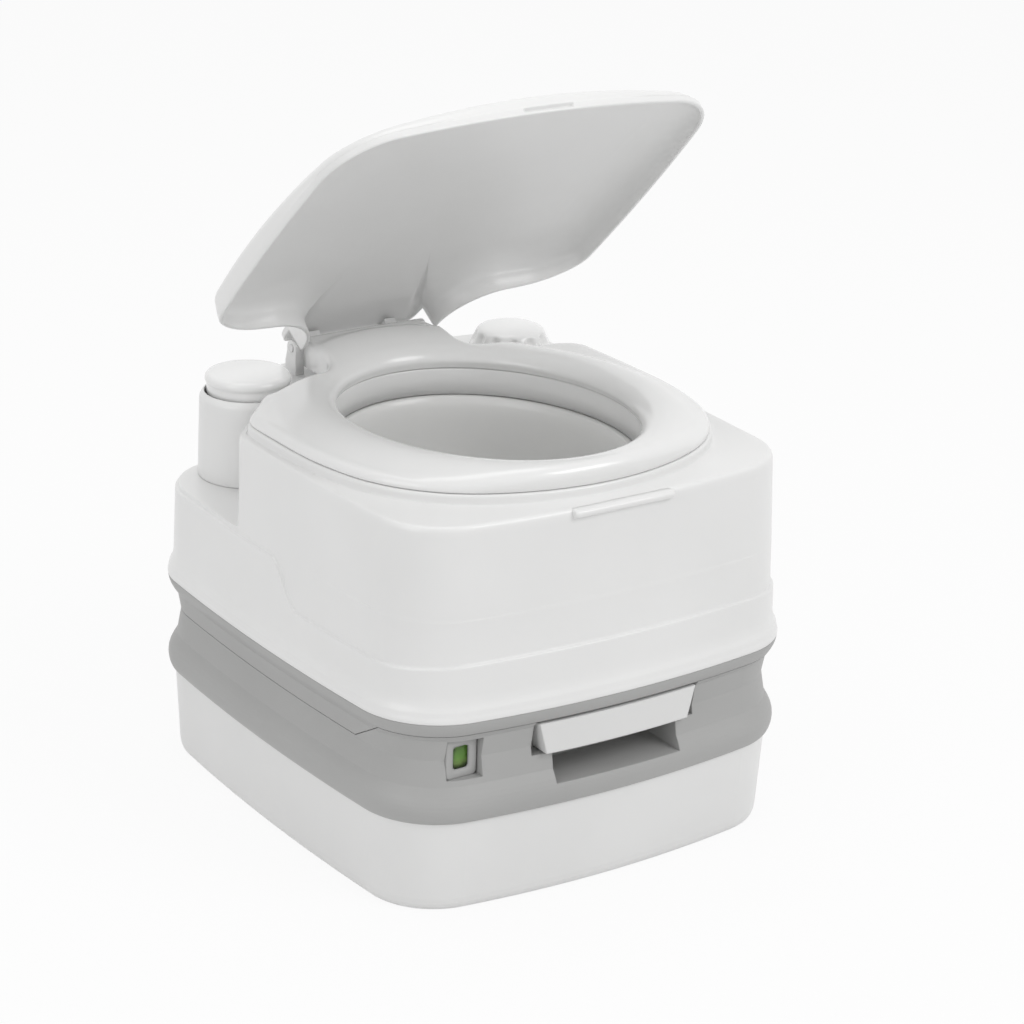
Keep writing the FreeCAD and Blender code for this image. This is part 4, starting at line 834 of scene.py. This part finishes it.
def level_window():
    """Small clear pane in a soft-edged recess of the tank's front."""
    a = low("level_window")
    b = high("level_window")
    middle_x = (a.x + b.x) / 2 - 0.5
    middle_z = (a.z + b.z) / 2
    rows = []
    for grow, radius, depth in ((6.6, 3.0, 1.95), (6.6, 3.0, 0.3), (6.4, 3.0, 0.08), (5.9, 3.0, 0.0),
                                (3.2, 2.6, 0.0), (2.2, 2.4, 0.15), (1.2, 2.2, 0.6), (0.5, 2.0, 1.1), (0.0, 2.0, 1.5),
                                (0.0, 2.0, 1.95)):
        rows.append(rounded_frame(middle_x - 5.6 - grow * 0.93, middle_x + 5.6 + grow * 0.93,
                                  middle_z - 7.8 - grow * 0.93, middle_z + 7.8 + grow * 0.93, radius,
                                  a.y + depth))
    mesh_object("window_recess", *ring_mesh(rows, wrap=True), "waste_unit", "tank_grey", GREY)
    pane = []
    for depth, shrinkage in ((1.9, 0.0), (1.2, 0.0), (1.0, 0.2)):
        pane.append(rounded_frame(middle_x - 6.4 + shrinkage, middle_x + 6.4 - shrinkage,
                                  middle_z - 8.6 + shrinkage, middle_z + 8.6 - shrinkage, 2.2, a.y + depth))
    sheet = mesh_object("window_pane", *ring_mesh(pane, True, True), "waste_unit", "clear", CLEAR)
    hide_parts("level_window")


front_catch()
level_window()

# ---- stage, lights and camera ------------------------------------------------------------------------


def backdrop():
    """Floor that the camera and reflections see as nearly white, with the object's shadow on it."""
    material = bpy.data.materials.new("floor_white")
    material.use_nodes = True
    tree = material.node_tree
    tree.nodes.remove(tree.nodes["Principled BSDF"])
    paint = tree.nodes.new("ShaderNodeBsdfDiffuse")
    paint.inputs["Color"].default_value = (0.82, 0.82, 0.82, 1)
    glow = tree.nodes.new("ShaderNodeEmission")
    glow.inputs["Strength"].default_value = 1.0
    mix = tree.nodes.new("ShaderNodeMixShader")
    path = tree.nodes.new("ShaderNodeLightPath")
    share = tree.nodes.new("ShaderNodeMath")
    share.operation = "MULTIPLY"
    share.inputs[1].default_value = 0.90
    tree.links.new(seen_directly(tree, path), share.inputs[0])
    tree.links.new(share.outputs["Value"], mix.inputs["Fac"])
    tree.links.new(paint.outputs["BSDF"], mix.inputs[1])
    tree.links.new(glow.outputs["Emission"], mix.inputs[2])
    tree.links.new(mix.outputs["Shader"], tree.nodes["Material Output"].inputs["Surface"])
    return material


def seen_directly(tree, path):
    """One for camera, glossy and transmission rays, nought for the rays that carry diffuse light."""
    last = path.outputs["Is Camera Ray"]
    for kind in ("Is Glossy Ray", "Is Transmission Ray"):
        larger = tree.nodes.new("ShaderNodeMath")
        larger.operation = "MAXIMUM"
        tree.links.new(last, larger.inputs[0])
        tree.links.new(path.outputs[kind], larger.inputs[1])
        last = larger.outputs["Value"]
    return last


def stage():
    size = 6.0
    data = bpy.data.meshes.new("floor")
    corners = [(-size, -size, 0), (size, -size, 0), (size, size, 0), (-size, size, 0)]
    data.from_pydata(corners, [], [(0, 1, 2, 3)])
    floor = bpy.data.objects.new("floor", data)
    bpy.context.scene.collection.objects.link(floor)
    data.materials.append(backdrop())


def lamp(name, place, target, size, power):
    data = bpy.data.lights.new(name, "AREA")
    data.shape = "RECTANGLE"
    data.size = size[0]
    data.size_y = size[1]
    data.energy = power
    light = bpy.data.objects.new(name, data)
    bpy.context.scene.collection.objects.link(light)
    light.location = place
    light.rotation_euler = (Vector(target) - Vector(place)).to_track_quat("-Z", "Y").to_euler()


def camera():
    """The photograph's view: seen from the front left, slightly above, through a long lens."""
    azimuth = math.radians(-34.03)
    elevation = math.radians(21.96)
    roll = math.radians(1.59)
    distance = 2.1689
    aim = Vector((0, 0, 0.150))
    back = Vector((math.sin(azimuth) * math.cos(elevation), -math.cos(azimuth) * math.cos(elevation),
                   math.sin(elevation)))
    right = Vector((0, 0, 1)).cross(back).normalized()
    up = back.cross(right)
    right, up = (right * math.cos(roll) + up * math.sin(roll), up * math.cos(roll) - right * math.sin(roll))
    data = bpy.data.cameras.new("camera")
    data.lens = 107.34
    data.sensor_width = 36
    data.shift_x = 0.0435
    data.shift_y = 0.0692
    view = bpy.data.objects.new("camera", data)
    bpy.context.scene.collection.objects.link(view)
    turn = Matrix((right, up, back)).transposed().to_4x4()
    view.matrix_world = Matrix.Translation(aim + back * distance) @ turn
    bpy.context.scene.camera = view


def world():
    scene = bpy.context.scene
    scene.world = bpy.data.worlds.new("world")
    scene.world.use_nodes = True
    tree = scene.world.node_tree
    background = tree.nodes["Background"]
    background.inputs["Color"].default_value = (1, 1, 1, 1)
    background.inputs["Strength"].default_value = 0.62
    shown = tree.nodes.new("ShaderNodeBackground")
    shown.inputs["Color"].default_value = (1, 1, 1, 1)
    shown.inputs["Strength"].default_value = 1.0
    path = tree.nodes.new("ShaderNodeLightPath")
    mix = tree.nodes.new("ShaderNodeMixShader")
    tree.links.new(seen_directly(tree, path), mix.inputs["Fac"])
    tree.links.new(background.outputs["Background"], mix.inputs[1])
    tree.links.new(shown.outputs["Background"], mix.inputs[2])
    tree.links.new(mix.outputs["Shader"], tree.nodes["World Output"].inputs["Surface"])
    scene.view_settings.view_transform = "Standard"


stage()
lamp("key", (1.2, -2.2, 2.2), (0, 0, 0.2), (1.6, 1.2), 26)
lamp("fill", (-2.4, -0.6, 1.2), (0, 0, 0.2), (1.4, 1.4), 10)
lamp("top", (0.0, 0.3, 2.6), (0, 0, 0.2), (1.6, 1.6), 14)
camera()
world()
